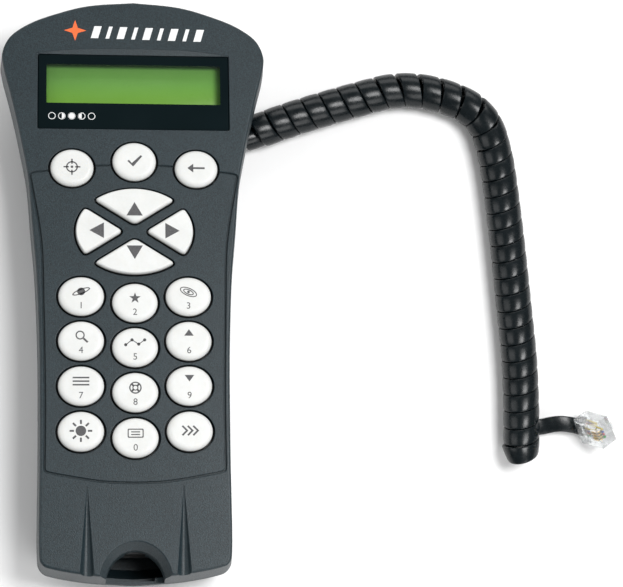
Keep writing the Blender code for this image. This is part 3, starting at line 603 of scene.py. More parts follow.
def metal_look(name, low, high, roughness=(0.22, 0.42)):
    look = Look(name, roughness[0], 1.0)
    look.colour(look.cloud(600, low, high))
    look.rough(look.noise(1500, 3.0, 0.6, (1, 6, 1)), *roughness)
    look.bump((look.noise(2500, 2.0), 0.00001))
    return look.material


def board_look():
    """Green solder mask with fine copper tracks under it."""
    look = Look("circuit_green", 0.35)
    greens = ((0.012, 0.105, 0.040), (0.016, 0.125, 0.050), (0.040, 0.200, 0.080))
    tracks = look.bricks(0.0042, 0.0013, 0.00018, greens)
    look.colour(look.times(tracks.outputs["Color"], look.cloud(90, (0.85, 0.88, 0.85), WHITE)))
    look.rough(look.noise(400), 0.28, 0.42)
    look.bump((tracks.outputs["Fac"], 0.00004))
    return look.material


def clear_look():
    """Clear polycarbonate of the plug."""
    look = Look("plug_clear", 0.05)
    look.colour(look.cloud(260, (0.84, 0.87, 0.88), (0.93, 0.95, 0.96)))
    look.rough(look.noise(800), 0.03, 0.12)
    look.set("Transmission Weight", 0.92)
    look.set("IOR", 1.50)
    look.set("Alpha", 0.78)
    look.bump((look.noise(500), 0.00004))
    return look.material


def make_materials():
    return {
        "floor": floor_look(),
        "case": case_look(),
        "rubber": rubber_look(),
        "legend": legend_look(),
        "white_print": print_look("white_print", (0.74, 0.75, 0.75), (0.64, 0.65, 0.66)),
        "orange_print": print_look("orange_print", (0.83, 0.14, 0.03), (0.62, 0.10, 0.025)),
        "mask": mask_look(),
        "pane": pane_look(),
        "lcd": lcd_look(),
        "jacket": jacket_look(),
        "boot": dull_look("boot_pvc", (0.008, 0.010, 0.012), (0.014, 0.016, 0.018)),
        "black": dull_look("black_nylon", (0.010, 0.011, 0.012), (0.020, 0.021, 0.022)),
        "chip": dull_look("chip_epoxy", (0.012, 0.012, 0.013), (0.024, 0.024, 0.025), (0.5, 0.7), 2200),
        "cream": dull_look("header_nylon", (0.62, 0.58, 0.47), (0.72, 0.68, 0.57)),
        "light": dull_look("backlight_acrylic", (0.72, 0.76, 0.70), (0.84, 0.86, 0.82), (0.25, 0.4)),
        "board": board_look(),
        "steel": metal_look("screw_steel", (0.42, 0.42, 0.43), (0.60, 0.60, 0.61)),
        "bezel": metal_look("bezel_black", (0.015, 0.016, 0.017), (0.030, 0.031, 0.032), (0.35, 0.5)),
        "gold": metal_look("contact_gold", (0.70, 0.42, 0.10), (0.86, 0.60, 0.22), (0.18, 0.32)),
        "plug": clear_look(),
        "wire_red": dull_look("wire_red", (0.42, 0.02, 0.015), (0.55, 0.03, 0.02)),
        "wire_green": dull_look("wire_green", (0.03, 0.30, 0.06), (0.05, 0.40, 0.08)),
        "wire_yellow": dull_look("wire_yellow", (0.62, 0.48, 0.04), (0.75, 0.58, 0.06)),
        "wire_blue": dull_look("wire_blue", (0.03, 0.06, 0.30), (0.05, 0.09, 0.42)),
    }


# ---- solids


def finish(name, bm, sharp=40.0):
    """An object from bm, with its faces pointing out."""
    bmesh.ops.recalc_face_normals(bm, faces=bm.faces)
    if bm.calc_volume(signed=True) < 0:
        bmesh.ops.reverse_faces(bm, faces=bm.faces)
    mesh = bpy.data.meshes.new(name)
    bm.to_mesh(mesh)
    bm.free()
    thing = bpy.data.objects.new(name, mesh)
    shade(thing, sharp)
    bpy.context.scene.collection.objects.link(thing)
    return thing


def shade(thing, sharp):
    thing.data.shade_smooth()
    thing.data.set_sharp_from_angle(angle=radians(sharp))


def join_rings(bm, lower, upper):
    for i in range(len(lower)):
        j = (i + 1) % len(lower)
        bm.faces.new((lower[i], lower[j], upper[j], upper[i]))


def lofted(*solids):
    """A mesh of closed solids, each through its own rings of points, capped at both ends."""
    bm = bmesh.new()
    for rings in solids:
        rows = [[bm.verts.new(point) for point in ring] for ring in rings]
        for lower, upper in zip(rows, rows[1:]):
            join_rings(bm, lower, upper)
        bm.faces.new(rows[0])
        bm.faces.new(rows[-1])
    return bm


def band(bm, sections):
    """A closed band: each section is an outline, and the last joins the first."""
    rows = [[bm.verts.new(point) for point in ring] for ring in sections]
    for lower, upper in zip(rows, [*rows[1:], rows[0]]):
        join_rings(bm, lower, upper)
    return bm


def boxes(*pairs):
    """A mesh of boxes, each given by its low and its high corner."""
    bm = bmesh.new()
    for low, high in pairs:
        size, middle = Vector(high) - Vector(low), (Vector(high) + Vector(low)) / 2
        made = bmesh.ops.create_cube(bm, size=1.0)
        matrix = Matrix.Translation(middle) @ Matrix.Diagonal((*size, 1))
        bmesh.ops.transform(bm, matrix=matrix, verts=made["verts"])
    return bm


def cut(thing, bm, operation="DIFFERENCE"):
    """Cuts bm's shape out of the thing, or joins it on, and applies the result."""
    cutter = finish("cutter", bm)
    modifier = thing.modifiers.new("cut", "BOOLEAN")
    modifier.operation = operation
    modifier.solver = "MANIFOLD"
    modifier.object = cutter
    apply_modifiers(thing)
    bpy.data.objects.remove(cutter)


def evaluated_mesh(thing):
    graph = bpy.context.evaluated_depsgraph_get()
    return bpy.data.meshes.new_from_object(thing.evaluated_get(graph))


def apply_modifiers(thing):
    mesh = evaluated_mesh(thing)
    thing.modifiers.clear()
    thing.data = mesh


def settle_shading(thing, sharp=35.0):
    """Smooth faces whose shading follows the large flat ones, so that fine rounds don't tint them."""
    shade(thing, sharp)
    weighted = thing.modifiers.new("shading", "WEIGHTED_NORMAL")
    weighted.keep_sharp = True
    weighted.weight = 100
    apply_modifiers(thing)


def piece(thing, material, body="housing", replaces=()):
    thing.data.materials.clear()
    thing.data.materials.append(MATERIALS[material])
    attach(thing, body)
    if replaces:
        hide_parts(*replaces)
    return thing


# ---- outlines and curves


def at_height(outline, z):
    return [(x, y, z) for x, y in outline]


def at_length(outline, x):
    return [(x, y, z) for y, z in outline]


def prism(outline, low, high):
    return [at_height(outline, low), at_height(outline, high)]


def span_point(corners, knots, t):
    """The point at t between the two middle ones of four corners, by Barry and Goldman's blending."""
    blend = list(corners)
    for width in (1, 2, 2):
        spans = [(1, 2)] if len(blend) == 2 else [(i, i + width) for i in range(len(blend) - 1)]
        blend = [
            (blend[i] * (knots[hi] - t) + blend[i + 1] * (t - knots[lo])) / (knots[hi] - knots[lo])
            for i, (lo, hi) in enumerate(spans)
        ]
    return blend[0]


def curve_through(points, steps):
    """Points along a centripetal Catmull-Rom curve through the given ones, steps to a span."""
    points = [Vector(p) for p in points]
    ends = [2 * points[0] - points[1], *points, 2 * points[-1] - points[-2]]
    line = []
    for k in range(len(points) - 1):
        corners = ends[k : k + 4]
        knots = [0.0]
        for a, b in zip(corners, corners[1:]):
            knots.append(knots[-1] + sqrt((b - a).length))
        for s in range(steps):
            line.append(span_point(corners, knots, knots[1] + (knots[2] - knots[1]) * s / steps))
    return [*line, points[-1]]


def run_at(points, k):
    """The direction of a line of points at its point k."""
    return (points[min(k + 1, len(points) - 1)] - points[max(k - 1, 0)]).normalized()


def mirrored(half):
    """A closed outline from its +X half, which starts and ends on the centre line."""
    return [*half, *[(-x, y) for x, y in reversed(half[1:-1])]]


def grown(outline, distance):
    """The outline moved outwards by a distance, or inwards by a negative one. It runs clockwise."""
    moved = []
    count = len(outline)
    for i in range(count):
        before, here, after = (Vector(outline[k % count]) for k in (i - 1, i, i + 1))
        first, second = (here - before).normalized(), (after - here).normalized()
        normal = Vector((-first.y - second.y, first.x + second.x)).normalized()
        stretch = max(0.5, normal.dot(Vector((-second.y, second.x))))
        moved.append(tuple(here + normal * distance / stretch))
    return moved


def smoothstep(low, high, value):
    t = min(1.0, max(0.0, (value - low) / (high - low)))
    return t * t * (3 - 2 * t)


def ellipse(x, y, half, grow=0.0, sides=KEY_SIDES):
    """Clockwise points of an ellipse."""
    turns = [-2 * pi * k / sides for k in range(sides)]
    return [(x + (half[0] + grow) * cos(t), y + (half[1] + grow) * sin(t)) for t in turns]


def disc(x, y, radius, sides=28):
    return ellipse(x, y, (radius, radius), 0.0, sides)


def oblong(half_wide, low, high):
    return [(-half_wide, low), (-half_wide, high), (half_wide, high), (half_wide, low)]


def rounded_box(x, y, half, corner, steps=5, grow=0.0):
    """Clockwise points of a rectangle with round corners."""
    outline = []
    half, corner = (half[0] + grow, half[1] + grow), corner + grow
    for turn, (sx, sy) in enumerate(((1, 1), (1, -1), (-1, -1), (-1, 1))):
        cx, cy = x + sx * (half[0] - corner), y + sy * (half[1] - corner)
        start = pi / 2 * (1 - turn)
        for k in range(steps + 1):
            t = start - pi / 2 * k / steps
            outline.append((cx + corner * cos(t), cy + corner * sin(t)))
    return outline


def star(x, y, radius, waist, points):
    outline = []
    for k in range(points * 2):
        reach = radius if k % 2 == 0 else waist
        t = pi / 2 - pi * k / points
        outline.append((x + reach * cos(t), y + reach * sin(t)))
    return outline


def turned(outline, degrees):
    c, s = cos(radians(degrees)), sin(radians(degrees))
    return [(x * c - y * s, x * s + y * c) for x, y in outline]


def around(outline, count, start=0.0):
    """Copies of an outline, turned evenly about the origin."""
    return [turned(outline, start + 360 / count * k) for k in range(count)]


def stroke(points, width):
    """The outline of a straight or bent line of a given width."""
    points = [Vector(p) for p in points]
    left, right = [], []
    for k, here in enumerate(points):
        run = run_at(points, k)
        side = Vector((-run.y, run.x)) * width / 2
        if 0 < k < len(points) - 1:
            side /= max(0.5, run.dot((here - points[k - 1]).normalized()))
        left.append(tuple(here + side))
        right.append(tuple(here - side))
    return [*left, *reversed(right)]


# ---- case


def lipped(outline_at, bottom):
    """Rings of a cutter for a well whose upper edge is eased: outline_at(grow) gives an outline."""
    return [
        at_height(outline_at((3 + LIP_KNEE) * LIP), FRONT_Z + LIP),
        at_height(outline_at(LIP_KNEE * LIP), FRONT_Z - LIP_KNEE * LIP),
        at_height(outline_at(0.0), FRONT_Z - LIP),
        at_height(outline_at(0.0), bottom),
    ]


def case_outline():
    return [tuple(p) for p in curve_through(OUTLINE, OUTLINE_STEPS)]


def spine_outline(half):
    """The outline of the flat underside, point for point with the case's outline."""
    widest, corner = half[WIDEST][0], half[LOWER_CORNER][0]
    spine = []
    for k, (x, y) in enumerate(half):
        reach = widest if k < WIDEST else corner if k > LOWER_CORNER else x
        top = SPINE_TOP[0] * smoothstep(SPINE_TOP[1], TOP_Y, y)
        lower = SPINE_LOWER[0] * smoothstep(SPINE_LOWER[1], TOP_Y, -y)
        spine.append((x * SPINE_HALF_WIDTH / reach, y - top + lower))
    return spine


def rear_ring(half, z, head_share, inset):
    """The rear shell's outline at a height: a round belly under the grip, a flatter head above it."""
    drop = (PARTING_Z - z) / PARTING_Z
    belly_share = 1 - sqrt(max(0.0, 1 - drop**2))
    ring = []
    for (x, y), (sx, sy) in zip(half, spine_outline(half)):
        share = belly_share + (head_share - belly_share) * smoothstep(HEAD_FROM_Y, HEAD_TO_Y, y)
        ring.append((x + (sx - x) * share, y + (sy - y) * share))
    return at_height(grown(mirrored(ring), -inset), z)


def both_sides(places):
    return [(side * x, y) for x, y in places for side in (1, -1)]


def posts(low, high, radius):
    return lofted(*[prism(disc(x, y, radius, 32), low, high) for x, y in both_sides(CASE_SCREWS)])


def round_keys():
    """(name, x, y, half size) of the fifteen elliptical keys."""
    keys = [
        ("key_top_left", -TOP_KEYS_X, TOP_KEYS_Y, TOP_KEY_HALF),
        ("key_top_centre", 0.0, TOP_CENTRE_Y, TOP_CENTRE_HALF),
        ("key_top_right", TOP_KEYS_X, TOP_KEYS_Y, TOP_KEY_HALF),
    ]
    for row, names in enumerate(KEY_GRID):
        for column, name in enumerate(names):
            y = FIRST_ROW_Y - row * ROW_PITCH - (CENTRE_DROP if column == 1 else 0)
            keys.append((name, (column - 1) * COLUMN_X, y, KEY_HALF))
    return keys


def arc_corner(before, corner, after):
    """Points that round a corner off."""
    first = corner + (before - corner).normalized() * min(PAD_CORNER, (before - corner).length * 0.7)
    last = corner + (after - corner).normalized() * min(PAD_CORNER, (after - corner).length * 0.7)
    shares = [k / PAD_CORNER_STEPS for k in range(PAD_CORNER_STEPS + 1)]
    return [(1 - t) ** 2 * first + 2 * t * (1 - t) * corner + t * t * last for t in shares]


def pad_segment(index, grow):
    """One quarter of the split ellipse, clockwise, with round corners; 0 is the +X one, 1 the +Y one."""
    middle = index * pi / 2
    spread = PAD_BAR_ANGLE if index % 2 == 0 else pi / 2 - PAD_BAR_ANGLE
    apex = Vector((cos(middle), sin(middle))) * PAD_BAR_HALF / sin(spread)
    corners = []
    for side in (1, -1):
        run = Vector((cos(middle + side * spread), sin(middle + side * spread)))
        a = (run.x / PAD_HALF[0]) ** 2 + (run.y / PAD_HALF[1]) ** 2
        b = 2 * (apex.x * run.x / PAD_HALF[0] ** 2 + apex.y * run.y / PAD_HALF[1] ** 2)
        c = (apex.x / PAD_HALF[0]) ** 2 + (apex.y / PAD_HALF[1]) ** 2 - 1
        corners.append(apex + run * (-b + sqrt(b * b - 4 * a * c)) / (2 * a))
    start, end = (atan2(p.y / PAD_HALF[1], p.x / PAD_HALF[0]) for p in corners)
    if start < end:
        start += 2 * pi
    first, span = start - PAD_ARC_TRIM, end - start + 2 * PAD_ARC_TRIM
    sweep = [first + span * k / PAD_ARC_STEPS for k in range(PAD_ARC_STEPS + 1)]
    outline = [Vector((PAD_HALF[0] * cos(t), PAD_HALF[1] * sin(t))) for t in sweep]
    outline += arc_corner(outline[-1], corners[1], apex)
    outline += arc_corner(corners[1], apex, corners[0])
    outline += arc_corner(apex, corners[0], outline[0])
    return [(x, y + PAD_Y) for x, y in grown([tuple(p) for p in outline], grow)]


def key_wells():
    """A cutter for the wells of all the keys."""
    bottom = CEILING_Z - 0.001
    wells = []
    for _, x, y, size in round_keys():
        well = (size[0] + WELL_GROW[0], size[1] + WELL_GROW[1])
        wells.append(lipped(lambda grow, x=x, y=y, well=well: ellipse(x, y, well, grow), bottom))
    for index in range(4):
        wells.append(lipped(lambda grow, i=index: pad_segment(i, PAD_WELL_GROW + grow), bottom))
    return lofted(*wells)


def window_well():
    half = (WINDOW_HALF[0] + WINDOW_PLAY, WINDOW_HALF[1] + WINDOW_PLAY)
    sides = (0, WINDOW_Y, half, WINDOW_CORNER)
    return lofted(lipped(lambda grow: rounded_box(*sides, grow=grow), WINDOW_Z[0] - GAP))


def brow():
    """A slope from the window's upper edge up to a shallow arch."""
    low_y = WINDOW_Y + WINDOW_HALF[1] - 0.0006
    rings = []
    for x, y in curve_through(BROW, 8):
        near = (x, low_y, FRONT_Z - BROW_DEPTH)
        edge = [(x, y, FRONT_Z - 0.00012), (x, y + 0.00015, FRONT_Z + BROW_RISE)]
        rings.append([near, *edge, (x, low_y, FRONT_Z + BROW_RISE)])
    return lofted(rings)


def panel_groove():
    panel = mirrored([tuple(p) for p in curve_through(PANEL_HALF, 4)])
    inner = grown(panel, -PANEL_GROOVE)
    sections = [
        at_height(inner, FRONT_Z - PANEL_GROOVE_DEPTH),
        at_height(panel, FRONT_Z - PANEL_GROOVE_DEPTH),
        at_height(panel, FRONT_Z - 0.00025),
        at_height(grown(panel, 0.0006), FRONT_Z + 0.00035),
        at_height(grown(inner, -0.0005), FRONT_Z + 0.00035),
        at_height(inner, FRONT_Z - 0.00015),
    ]
    return band(bmesh.new(), sections)


def flute(side):
    """Rings of a half-round groove that deepens towards the lower end, with eased edges."""
    rings = []
    for k in range(9):
        share = k / 8
        radius = FLUTE_RADII[0] + (FLUTE_RADII[1] - FLUTE_RADII[0]) * share
        turns = [FLUTE_ARC[0] + FLUTE_ARC[1] * s / 16 for s in range(17)]
        arc = [(radius * cos(t), radius * sin(t)) for t in turns]
        (left, low), (right, _) = arc[0], arc[-1]
        flare = FLUTE_RISE - low
        section = [(left - flare, FLUTE_RISE), *arc, (right + flare, FLUTE_RISE)]
        y = FLUTE_TOP_Y - FLUTE_LENGTH * share
        rings.append([(side * FLUTE_X + across, y, FRONT_Z + up) for across, up in section])
    return rings


def notch_wall(throat, low, high):
    """The wall that stands around the finger notch, inside the shell."""
    ax, ay = throat[0] + NOTCH_WALL, throat[1] + NOTCH_WALL
    reach = acos((NOTCH_WALL_TO_Y - NOTCH_Y) / ay)
    turns = [reach * (2 * k / 48 - 1) for k in range(49)]
    return lofted(prism([(ax * sin(t), NOTCH_Y + ay * cos(t)) for t in turns], low, high))


def notch(throat):
    levels = (
        (NOTCH_HALF, 0.0009, FRONT_Z + 0.0003),
        (NOTCH_HALF, 0.0001, FRONT_Z - 0.0001),
        (NOTCH_HALF, -0.0002, FRONT_Z - 0.0004),
        (throat, 0.0002, FRONT_Z - NOTCH_DEPTH),
        (throat, 0.0, FRONT_Z - NOTCH_DEPTH - 0.0004),
        (throat, 0.0, PARTING_Z - 0.002),
    )
    return lofted([at_height(ellipse(0, NOTCH_Y, half, grow, NOTCH_SIDES), z) for half, grow, z in levels])


def front_shell():
    outline = mirrored(case_outline())
    foot = PARTING_Z + GAP / 2
    rings = [
        at_height(grown(outline, -WALL - FRONT_DRAFT), CEILING_Z),
        at_height(grown(outline, -WALL), foot),
        at_height(grown(outline, -FOOT_EASE), foot),
        at_height(outline, foot + FOOT_EASE),
    ]
    for k in range(EDGE_STEPS + 1):
        t = pi / 2 * k / EDGE_STEPS
        inset = FRONT_DRAFT + EDGE_ROUND * (1 - cos(t))
        rings.append(at_height(grown(outline, -inset), FRONT_Z - EDGE_ROUND * (1 - sin(t))))
    shell = finish("front_shell_detail", lofted(rings))

    into_plate = CEILING_Z + 0.0008
    throat = (NOTCH_HALF[0] * NOTCH_TAPER, NOTCH_HALF[1] * NOTCH_TAPER)
    cut(shell, posts(foot, into_plate, FRONT_BOSS_RADIUS), "UNION")
    cut(shell, notch_wall(throat, foot, into_plate), "UNION")
    cut(shell, key_wells())
    cut(shell, window_well())
    cut(shell, lofted(prism(rounded_box(0, VIEW_Y, VIEW_HALF, 0.0006), CEILING_Z - 0.001, FRONT_Z)))
    cut(shell, brow())
    cut(shell, panel_groove())
    cut(shell, lofted(flute(1), flute(-1)))
    cut(shell, notch(throat))
    jack_x = JACK_HALF_WIDTH + GAP
    jack = ((-jack_x, JACK_Y[0] - GAP, PARTING_Z - 0.002), (jack_x, JACK_Y[1], BOARD_UNDERSIDE))
    cut(shell, boxes(jack))
    settle_shading(shell)
    piece(shell, "case", replaces=("front_shell",))


def screw_bores():
    """A cutter for the counterbores and holes of the case screws."""
    levels = ((BORE + 0.0008, -0.0005), (BORE, 0.0003), (BORE, BORE_Z))
    levels += ((SCREW_HOLE_RADIUS, BORE_Z), (SCREW_HOLE_RADIUS, PARTING_Z + 0.001))
    bores = []
    for x, y in both_sides(CASE_SCREWS):
        bores.append([at_height(disc(x, y, radius, 40), z) for radius, z in levels])
    return lofted(*bores)


def boot_hole():
    bm = bmesh.new()
    sizes = {"radius1": BOOT_HOLE_RADIUS, "radius2": BOOT_HOLE_RADIUS, "depth": BOOT_HOLE_DEPTH}
    made = bmesh.ops.create_cone(bm, cap_ends=True, segments=40, **sizes)
    across = Matrix.Translation((SPINE_HALF_WIDTH, BOOT_Y, CORD_Z)) @ Matrix.Rotation(pi / 2, 4, "Y")
    bmesh.ops.transform(bm, matrix=across, verts=made["verts"])
    return bm


def rear_shell():
    half = case_outline()
    rings = [rear_ring(half, z, share, WALL) for z, share in reversed(curve_through(HEAD_INSIDE, 2))]
    rings.append(rear_ring(half, PARTING_Z - FOOT_EASE, 0.0, 0.0002))
    rings += [rear_ring(half, z, share, 0) for z, share in curve_through(HEAD_OUTSIDE, 4)[1:]]
    rings.append(rear_ring(half, 0.0003, 1.0, 0.00012))
    rings.append(rear_ring(half, 0.0, 1.0, 0.0005))
    shell = finish("rear_shell_detail", lofted(rings))
    cut(shell, posts(REAR_BOSS_Z, PARTING_Z - GAP, REAR_BOSS_RADIUS), "UNION")
    cut(shell, screw_bores())
    cut(shell, boxes(SLOT))
    cut(shell, boxes(SLOT_MOUTH))
    cut(shell, boot_hole())
    settle_shading(shell)
    piece(shell, "case", replaces=("rear_shell",))


# ---- keys


def key_drop(reach):
    """How far the crown has fallen at a share of the way from a round key's middle to its side."""
    past = max(0.0, min(1.0, reach) - CROWN_FLAT) / (1 - CROWN_FLAT)
    return KEY_SHOULDER * (1 - (1 - past**2.4) ** 0.6)


def round_key(name, x, y, half):
    rings = []
    for k in range(CROWN_STEPS):
        reach = sin(pi / 2 * (k + 1) / CROWN_STEPS)
        outline = ellipse(x, y, (half[0] * reach, half[1] * reach))
        rings.append(at_height(outline, KEY_CROWN_Z - key_drop(reach)))
    flange = (half[0] + FLANGE_GROW[0], half[1] + FLANGE_GROW[1])
    rings.append(at_height(ellipse(x, y, half), KEY_FLANGE_Z[1]))
    rings += prism(ellipse(x, y, flange), KEY_FLANGE_Z[1], KEY_FLANGE_Z[0])
    key = finish(f"{name}_cap", lofted(rings), 50)
    piece(key, "rubber", name, (name,))


def pad_key(index, name):
    side = [Vector(point) for point in pad_segment(index, 0.0)]
    middle = sum(side, Vector((0, 0))) / len(side)
    rings = prism(pad_segment(index, PAD_FLANGE_GROW), *KEY_FLANGE_Z)
    rings.append(at_height(side, KEY_FLANGE_Z[1]))
    for k in range(PAD_SHOULDER_STEPS + 1):
        t = pi / 2 * k / PAD_SHOULDER_STEPS
        ring = [point.lerp(middle, PAD_CROWN_INSET * (1 - cos(t))) for point in side]
        rings.append(at_height(ring, KEY_CROWN_Z - PAD_SHOULDER * (1 - sin(t))))
    key = finish(f"{name}_cap", lofted(rings), 50)
    settle_shading(key, 50)
    piece(key, "rubber", name, (name,))


# ---- prints: top(x, y) is the surface's height


def slab(bm, outline, top, under=PRINT_RISE):
    """A thin solid on a surface, under a flat outline."""
    lower = [bm.verts.new((x, y, top(x, y) - under)) for x, y in outline]
    upper = [bm.verts.new((x, y, top(x, y) + PRINT_RISE)) for x, y in outline]
    join_rings(bm, lower, upper)
    bm.faces.new(lower)
    bm.faces.new(upper)


def hoop(bm, outer, inner, top, under=PRINT_RISE):
    """A thin ring on a surface, between two outlines with equal counts."""
    levels = ((outer, -under), (outer, PRINT_RISE), (inner, PRINT_RISE), (inner, -under))
    band(bm, [[(x, y, top(x, y) + rise) for x, y in outline] for outline, rise in levels])


def digit(bm, text, x, y, top):
    """A plain numeral."""
    data = bpy.data.curves.new("numeral", "FONT")
    data.body = text
    data.size = DIGIT_SIZE
    data.align_x = "CENTER"
    data.extrude = (PRINT_RISE + LEGEND_UNDER) / 2
    data.resolution_u = 5
    holder = bpy.data.objects.new("numeral", data)
    bpy.context.scene.collection.objects.link(holder)
    bpy.context.view_layer.update()
    mesh = evaluated_mesh(holder)
    for vert in mesh.vertices:
        vert.co.x += x
        vert.co.y += y
        vert.co.z += top(vert.co.x, vert.co.y) + (PRINT_RISE - LEGEND_UNDER) / 2
    start = len(bm.verts)
    bm.from_mesh(mesh)
    bm.verts.ensure_lookup_table()
    bmesh.ops.remove_doubles(bm, verts=bm.verts[start:], dist=0.000001)
    bpy.data.objects.remove(holder)


def round_ring(outer, inner):
    return disc(0, 0, outer), disc(0, 0, inner)


def oval(half, line, tilt):
    """A tilted elliptical ring."""
    pair = (ellipse(0, 0, half), ellipse(0, 0, (half[0] - line[0], half[1] - line[1])))
    return tuple(turned(outline, tilt) for outline in pair)


def shifted(outline, y):
    return [(px, py + y) for px, py in outline]


def key_icons():
    """(solid outlines, rings, lift, numeral) of each round key, in millimetres about its middle."""
    path = ((-3.0, -0.7), (-1.0, 0.9), (1.1, -0.5), (3.0, 0.9))
    dots = [disc(x, y, 0.5, 18) for x, y in path]
    legs = [stroke((a, b), 0.26) for a, b in zip(path, path[1:])]
    shaft = [(-1.1, 0.31), (2.7, 0.31), (2.7, -0.31), (-1.1, -0.31)]
    target = [*around(oblong(0.22, 1.0, 2.7), 4), disc(0, 0, 0.42)]
    spokes = around(oblong(0.3, 0.8, 1.6), 4, 45)
    rays = around(oblong(0.3, 2.15, 3.5), 8)
    lines = [shifted(oblong(2.6, -0.24, 0.24), y) for y in (-1.15, 0, 1.15)]
    rows = [shifted(oblong(1.4, -0.17, 0.17), y) for y in (-0.42, 0.42)]
    card = (rounded_box(0, 0, (2.5, 1.45), 0.4), rounded_box(0, 0, (2.15, 1.1), 0.25))
    speed = [stroke(((x - 0.8, 1.5), (x + 0.7, 0), (x - 0.8, -1.5)), 0.55) for x in (-1.6, 0.1, 1.8)]
    galaxy = [oval((2.9 * size, 1.35 * size), (0.32, 0.32), -24) for size in (1.0, 0.62)]
    lens = (disc(-0.3, 0.3, 1.45), disc(-0.3, 0.3, 1.05))
    return {
        "key_top_left": (target, [round_ring(1.9, 1.48)], 0.0, ""),
        "key_top_centre": ([stroke(((-2.0, 0.1), (-0.6, -1.4), (2.3, 1.7)), 0.62)], [], 0.0, ""),
        "key_top_right": ([[(-2.9, 0.0), (-1.0, 1.5), (-1.0, -1.5)], shaft], [], 0.0, ""),
        "key_1": ([disc(0, 0, 1.25)], [oval((3.0, 0.85), (0.45, 0.35), 22)], 1.3, "1"),
        "key_2": ([star(0, 0, 1.9, 0.75, 5)], [], 1.3, "2"),
        "key_3": ([disc(0, 0, 0.42)], galaxy, 1.3, "3"),
        "key_4": ([stroke(((0.75, -0.75), (2.1, -2.0)), 0.62)], [lens], 1.3, "4"),
        "key_5": ([*dots, *legs], [], 1.3, "5"),
        "key_6": ([[(0, 1.2), (1.5, -0.9), (-1.5, -0.9)]], [], 2.4, "6"),
        "key_7": (lines, [], 1.3, "7"),
        "key_8": (spokes, [round_ring(1.95, 1.55), round_ring(0.95, 0.62)], 1.3, "8"),
        "key_9": ([[(0, -1.2), (-1.5, 0.9), (1.5, 0.9)]], [], 2.4, "9"),
        "key_light": ([disc(0, 0, 1.65), *rays], [], 0.0, ""),
        "key_0": (rows, [card], 1.3, "0"),
        "key_speed": (speed, [], 0.0, ""),
    }


def key_legend(name, x, y, half, icon):
    solids, rings, lift, text = icon

    def top(px, py):
        return KEY_CROWN_Z - key_drop(hypot((px - x) / half[0], (py - y) / half[1]))

    def placed(outline):
        return [(x + px * MM, y + (py + lift) * MM) for px, py in outline]

    bm = bmesh.new()
    for outline in solids:
        slab(bm, placed(outline), top, LEGEND_UNDER)
    for outer, inner in rings:
        hoop(bm, placed(outer), placed(inner), top, LEGEND_UNDER)
    if text:
        digit(bm, text, x, y - DIGIT_DROP, top)
    piece(finish(f"{name}_legend", bm), "legend", name)


def pad_arrow(index, name):
    middle = index * pi / 2
    out = Vector((cos(middle), sin(middle)))
    side = Vector((-out.y, out.x)) * ARROW_HALF_WIDTH
    tip, base = ARROW_REACH[index % 2]
    foot = Vector((0, PAD_Y)) + out * base
    corners = (Vector((0, PAD_Y)) + out * tip, foot - side, foot + side)
    bm = bmesh.new()
    slab(bm, [tuple(p) for p in corners], lambda x, y: KEY_CROWN_Z, LEGEND_UNDER)
    piece(finish(f"{name}_arrow", bm), "legend", name)


def keys():
    icons = key_icons()
    for name, x, y, half in round_keys():
        round_key(name, x, y, half)
        key_legend(name, x, y, half, icons[name])
    for index, name in enumerate(PAD_KEYS):
        pad_key(index, name)
        pad_arrow(index, name)


def flat_prints():
    """Decoration on the case: an orange star and a row of plain slanted bars."""

    def top(x, y):
        return FRONT_Z

    bm = bmesh.new()
    slab(bm, star(*STAR_AT, *STAR_RADII, 4), top)
    piece(finish("orange_star", bm), "orange_print")
    bm = bmesh.new()
    for k in range(BAR_COUNT):
        x, y = BAR_AT[0] + BAR_PITCH[0] * k, BAR_AT[1] + BAR_PITCH[1] * k
        half = BAR_WIDTHS[k % 2] / 2
        low, high = y - BAR_HALF_HEIGHT, y + BAR_HALF_HEIGHT
        bar = [(x - half - BAR_LEAN, low), (x - half + BAR_LEAN, high)]
        bar += [(x + half + BAR_LEAN, high), (x + half - BAR_LEAN, low)]
        slab(bm, bar, top)
    piece(finish("white_bars", bm), "white_print")


def window_print():
    """A row of small moon phases under the display: new, half, full, half and new."""

    def top(x, y):
        return WINDOW_Z[1]

    lit = {1: (pi / 2, pi, 25), 2: (pi, 2 * pi, 24), 3: (3 * pi / 2, pi, 25)}
    inside = MOON_RADIUS - MOON_INSET
    bm = bmesh.new()
    for k in range(5):
        x, y = MOON_AT[0] + MOON_PITCH * k, MOON_AT[1]
        hoop(bm, disc(x, y, MOON_RADIUS), disc(x, y, MOON_RADIUS - MOON_LINE), top)
        if k in lit:
            start, span, count = lit[k]
            turns = [start - span * s / 24 for s in range(count)]
            slab(bm, [(x + inside * cos(t), y + inside * sin(t)) for t in turns], top)
    piece(finish("moon_row", bm), "white_print")


# ---- display


def window():
    """The pane: a glossy black border around a clear middle."""
    low, high = WINDOW_Z

    def outer(grow):
        return rounded_box(0, WINDOW_Y, WINDOW_HALF, WINDOW_CORNER, grow=grow)

    def inner(grow):
        return rounded_box(0, VIEW_Y, MASK_HALF, 0.0003, grow=grow)

    sections = [
        at_height(outer(0), low),
        at_height(outer(0), high - WINDOW_EASE),
        at_height(outer(-LIP_KNEE * WINDOW_EASE), high - LIP_KNEE * WINDOW_EASE),
        at_height(outer(-WINDOW_EASE), high),
        at_height(inner(0), high),
        at_height(inner(0), low),
    ]
    border = finish("window_border", band(bmesh.new(), sections), 60)
    settle_shading(border, 60)
    piece(border, "mask", replaces=("display_window",))
    pane = finish("window_pane", lofted(prism(inner(-0.00002), low + 0.0001, high - 0.00001)))
    piece(pane, "pane")


